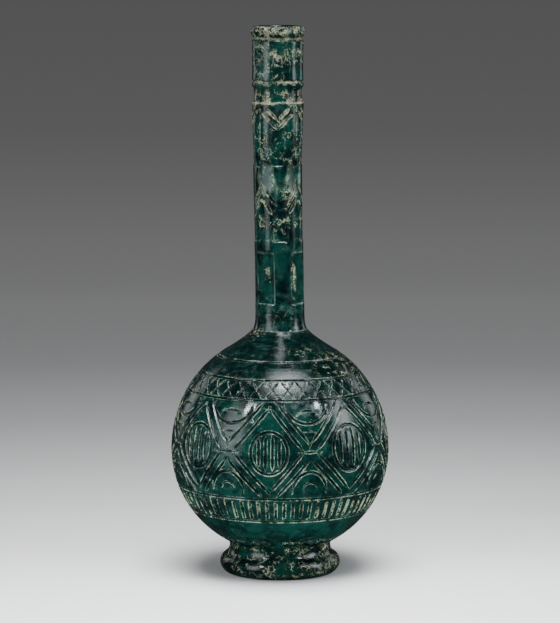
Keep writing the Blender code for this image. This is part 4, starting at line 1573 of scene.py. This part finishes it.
    def build(self) -> bpy.types.Object:
        """Builds the bottle, its finish and what the frame needs to know of it.

        Returns:
            The finished piece.
        """
        profile = self.profile()
        strokes = self.globe.strokes(profile) + self.neck.strokes(profile)
        mesh = self.sheet(profile, strokes)
        self.weather_and_painted_light(mesh, profile)
        piece = self.shown("cut_glass_bottle", mesh)
        line, guides = self.line(profile), self.guides(profile, strokes)
        self.shape(piece, profile, line, guides)
        self.settle(piece, [line, *guides.values()])
        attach(piece, "root")
        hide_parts("bottle")
        return piece

    def shape(
        self,
        piece: bpy.types.Object,
        profile: Profile,
        line: bpy.types.Object,
        guides: dict[Wheel, bpy.types.Object],
    ) -> None:
        """Puts the trees on the sheet and its guides, which roll it up, grind it, cut it and finish it.

        Args:
            piece: the sheet.
            profile: the glass's profile.
            line: the profile as edges.
            guides: the guide of each wheel.
        """
        roll, grind, cut = roll_up_tree(), grind_tree(), wheel_tree()
        for worked in [piece, *guides.values()]:
            seam = self.seam_weld if worked is piece else 0.0
            roll.work(worked, {"Profile": line, "Seam": seam})
            for facet in self.neck.facets():
                grind.work(worked, {
                    "Count": float(facet.count), "Turn": facet.turn, "Top": facet.top, "Ledge": facet.ledge,
                    "Top Distance": facet.top_distance, "Ledge Distance": facet.ledge_distance,
                    "Step": self.neck.ledge_slope, "Wear": self.neck.wear, "Mouth": profile.mouth,
                })
        for wheel, guide in guides.items():
            cut.work(piece, {
                "Guides": guide, "Half Width": wheel.half_width, "Depth": wheel.depth,
                "Roundness": wheel.roundness, "Dirt": wheel.dirt,
            })
        finish_tree().work(piece, {
            "Mouth": profile.mouth, "Unevenness": self.unevenness, "Wave": self.wave, "Lean": self.neck.lean,
            "Lean Foot": self.neck.foot, "Lean Top": self.neck.upper_ledge,
            "Finish": self.finish.material("green_glass_weathered"),
        })

    def settle(self, piece: bpy.types.Object, helpers: list[bpy.types.Object]) -> None:
        """Turns what the nodes made into a plain mesh and removes the helpers.

        Args:
            piece: the piece with its trees.
            helpers: what only the trees needed.
        """
        graph = bpy.context.evaluated_depsgraph_get()
        made = bpy.data.meshes.new_from_object(
            piece.evaluated_get(graph), preserve_all_data_layers=True, depsgraph=graph
        )
        piece.modifiers.clear()
        piece.data = made
        for helper in helpers:
            bpy.data.objects.remove(helper)


@dataclass(frozen=True)
class Panel:
    """A soft light: where it stands round the bottle, its size and its power."""

    name: str
    azimuth: float
    elevation: float
    distance: float
    width: float
    height: float
    power: float
    floor_only: bool = False


@dataclass
class Studio:
    """The floor, the lights and the camera."""

    target: tuple = (0.0, 0.0, 0.12)
    lamp_colour: tuple = (0.93, 0.98, 1.0, 1.0)
    lens: float = 179.3
    sensor: float = 36.0
    camera_place: tuple = (0.0, -1.350, 0.287)
    camera_dip: float = 7.258
    air: tuple = (0.03, 0.031, 0.033, 1.0)
    lamp_fade: Point = (0.08, 0.5)
    floor_sides: int = 96
    floor_reach: float = 2.8
    floor_bend: float = 0.7
    paper_middle: tuple = (0.0, -0.25, 0.0)
    paper_roughness: float = 0.9
    wall_height: float = 2.4
    # Painted pool of light: the paper's colour by distance, pale near the bottle and darker further off.
    painted_light_pool: tuple = (
        (0.0, 0.80), (0.15, 0.80), (0.25, 0.64), (0.32, 0.46), (0.41, 0.32),
        (0.53, 0.22), (0.66, 0.15), (0.9, 0.08), (1.3, 0.04), (4.0, 0.04),
    )
    # Painted glow: emission by distance on the far floor and up the wall.
    painted_backdrop_glow: tuple = (
        (0.0, 0.0), (0.66, 0.0), (0.9, 0.05), (1.22, 0.11), (1.65, 0.115),
        (2.3, 0.105), (3.3, 0.091), (3.65, 0.078), (3.9, 0.064), (5.0, 0.05),
    )
    panels: tuple = (
        Panel("left_softbox", -54.0, 15.0, 1.1, 0.85, 1.45, 16.0),
        Panel("left_key", -42.0, 36.0, 1.1, 0.17, 0.34, 9.0),
        Panel("right_key", 52.0, 38.0, 1.1, 0.15, 0.3, 7.0),
        Panel("front_key", 8.0, 66.0, 1.0, 0.3, 0.13, 7.0),
        Panel("back_left", -132.0, 14.0, 1.1, 0.5, 1.0, 2.2),
        Panel("back_right", 130.0, 14.0, 1.1, 0.5, 1.0, 2.6),
        Panel("right_strip", 78.0, 20.0, 1.1, 0.60, 1.2, 17.0),
        Panel("overhead", 20.0, 70.0, 1.0, 1.15, 0.8, 30.0),
        Panel("floor_light", 0.0, 80.0, 1.0, 0.7, 0.7, 30.0, floor_only=True),
    )

    def build(self) -> None:
        """Makes the whole studio."""
        self.camera()
        floor = self.floor()
        for panel in self.panels:
            self.light(panel, floor)
        world = bpy.data.worlds.new("studio_air")
        world.use_nodes = True
        world.node_tree.nodes["Background"].inputs["Color"].default_value = self.air
        bpy.context.scene.world = world

    def camera(self) -> None:
        """The camera at the photograph's place."""
        data = bpy.data.cameras.new("camera")
        data.lens, data.sensor_width = self.lens, self.sensor
        made = bpy.data.objects.new("camera", data)
        made.location = self.camera_place
        made.rotation_euler = (math.radians(90 - self.camera_dip), 0.0, 0.0)
        bpy.context.scene.collection.objects.link(made)
        bpy.context.scene.camera = made

    def light(self, panel: Panel, floor: bpy.types.Object) -> None:
        """One soft light that faces the bottle, or lights the floor alone.

        Args:
            panel: the light to make.
            floor: the floor that a floor light is kept to.
        """
        data = bpy.data.lights.new(panel.name, "AREA")
        data.shape, data.size, data.size_y, data.energy = "RECTANGLE", panel.width, panel.height, panel.power
        made = bpy.data.objects.new(panel.name, data)
        turn, rise = math.radians(panel.azimuth), math.radians(panel.elevation)
        away = Vector((math.sin(turn) * math.cos(rise), -math.cos(turn) * math.cos(rise), math.sin(rise)))
        made.location = Vector(self.target) + away * panel.distance
        made.rotation_euler = away.to_track_quat("Z", "Y").to_euler()
        made.visible_camera = False
        if panel.floor_only:
            lit = bpy.data.collections.new("lit_floor")
            lit.objects.link(floor)
            made.light_linking.receiver_collection = lit
        else:
            self.fade(data)
        bpy.context.scene.collection.objects.link(made)

    def fade(self, light: bpy.types.AreaLight) -> None:
        """Makes a softbox brightest in its middle, as cloth over a lamp is.

        Args:
            light: the light to change.
        """
        light.use_nodes = True
        n = Nodes(light.node_tree)
        across = n.add("ShaderNodeNewGeometry").outputs["Parametric"]
        from_middle = n.vector("MULTIPLY", n.vector("SUBTRACT", across, (0.5, 0.5, 0.0)), (1.0, 1.0, 0.0))
        away = n.vector("LENGTH", from_middle)
        lamp = next(node for node in light.node_tree.nodes if node.type == "EMISSION")
        lamp.inputs["Color"].default_value = self.lamp_colour
        n.feed(lamp.inputs["Strength"], n.ramp(away, *self.lamp_fade, 1.0, 0.0))

    def floor(self) -> bpy.types.Object:
        """The pale floor, which turns up into a wall all round.

        Returns:
            The floor.
        """
        line = [(0.0, 0.0)] + [(self.floor_reach * s, 0.0) for s in (0.1, 0.25, 0.5, 0.75, 1.0)]
        wall = self.floor_reach + self.floor_bend
        line += bend(line[-1], (wall, 0.0), (wall, self.floor_bend), 12)
        line.append((wall, self.wall_height))
        sides, points = self.floor_sides, [(0.0, 0.0, 0.0)]
        for radius, z in line[1:]:
            for turn in np.radians(np.linspace(0, FULL_TURN, sides, endpoint=False)):
                points.append((radius * math.sin(turn), -radius * math.cos(turn), z))
        faces = [(0, 1 + k, 1 + (k + 1) % sides) for k in range(sides)]
        for row in range(len(line) - 2):
            for k in range(sides):
                a, b = 1 + row * sides + k, 1 + row * sides + (k + 1) % sides
                faces.append((a, a + sides, b + sides, b))
        mesh = bpy.data.meshes.new("floor")
        mesh.from_pydata(points, [], faces)
        mesh.shade_smooth()
        mesh.materials.append(self.paper())
        made = bpy.data.objects.new("floor", mesh)
        made.visible_glossy = False
        bpy.context.scene.collection.objects.link(made)
        return made

    def paper(self) -> bpy.types.Material:
        """Matt paper with a painted pool of light, pale under the bottle and greyer further off, and a
        painted glow on the far floor and up the wall.

        Returns:
            The material.
        """
        made = bpy.data.materials.new("studio_paper")
        made.use_nodes = True
        n = Nodes(made.node_tree)
        place = n.add("ShaderNodeTexCoord").outputs["Object"]
        far = n.vector("LENGTH", n.vector("SUBTRACT", place, self.paper_middle))
        shader = made.node_tree.nodes["Principled BSDF"]
        # Painted pool of light in the base colour and painted glow in the emission.
        n.feed(shader.inputs["Base Color"], self.tones(n, far, self.painted_light_pool))
        n.feed(shader.inputs["Emission Color"], self.tones(n, far, self.painted_backdrop_glow))
        shader.inputs["Emission Strength"].default_value = 1.0
        shader.inputs["Roughness"].default_value = self.paper_roughness
        return made

    def tones(self, n: Nodes, far: object, stops: tuple) -> bpy.types.NodeSocket:
        """Grey tones by distance: each stop is a distance and a tone.

        Args:
            n: the material's nodes.
            far: the distance.
            stops: the distances and tones.

        Returns:
            The socket that gives the tone.
        """
        reach = stops[-1][0]
        ramp = n.add("ShaderNodeValToRGB", {0: n.math("DIVIDE", far, reach)})
        held = ramp.color_ramp.elements
        for distance, _ in stops[1:-1]:
            held.new(distance / reach)
        for stop, (_, tone) in zip(held, stops):
            stop.color = (tone, tone, tone * 1.01, 1.0)
        return ramp.outputs[0]


def main() -> None:
    """Builds the bottle and its studio and reports each piece."""
    logging.basicConfig(level=logging.INFO, format="%(message)s")
    bottle = CutGlassBottle().build()
    log.info("%s: %d vertices, %d faces", bottle.name, len(bottle.data.vertices), len(bottle.data.polygons))
    Studio().build()
    log.info("studio: floor, lights and camera")


if __name__ == "__main__":
    main()
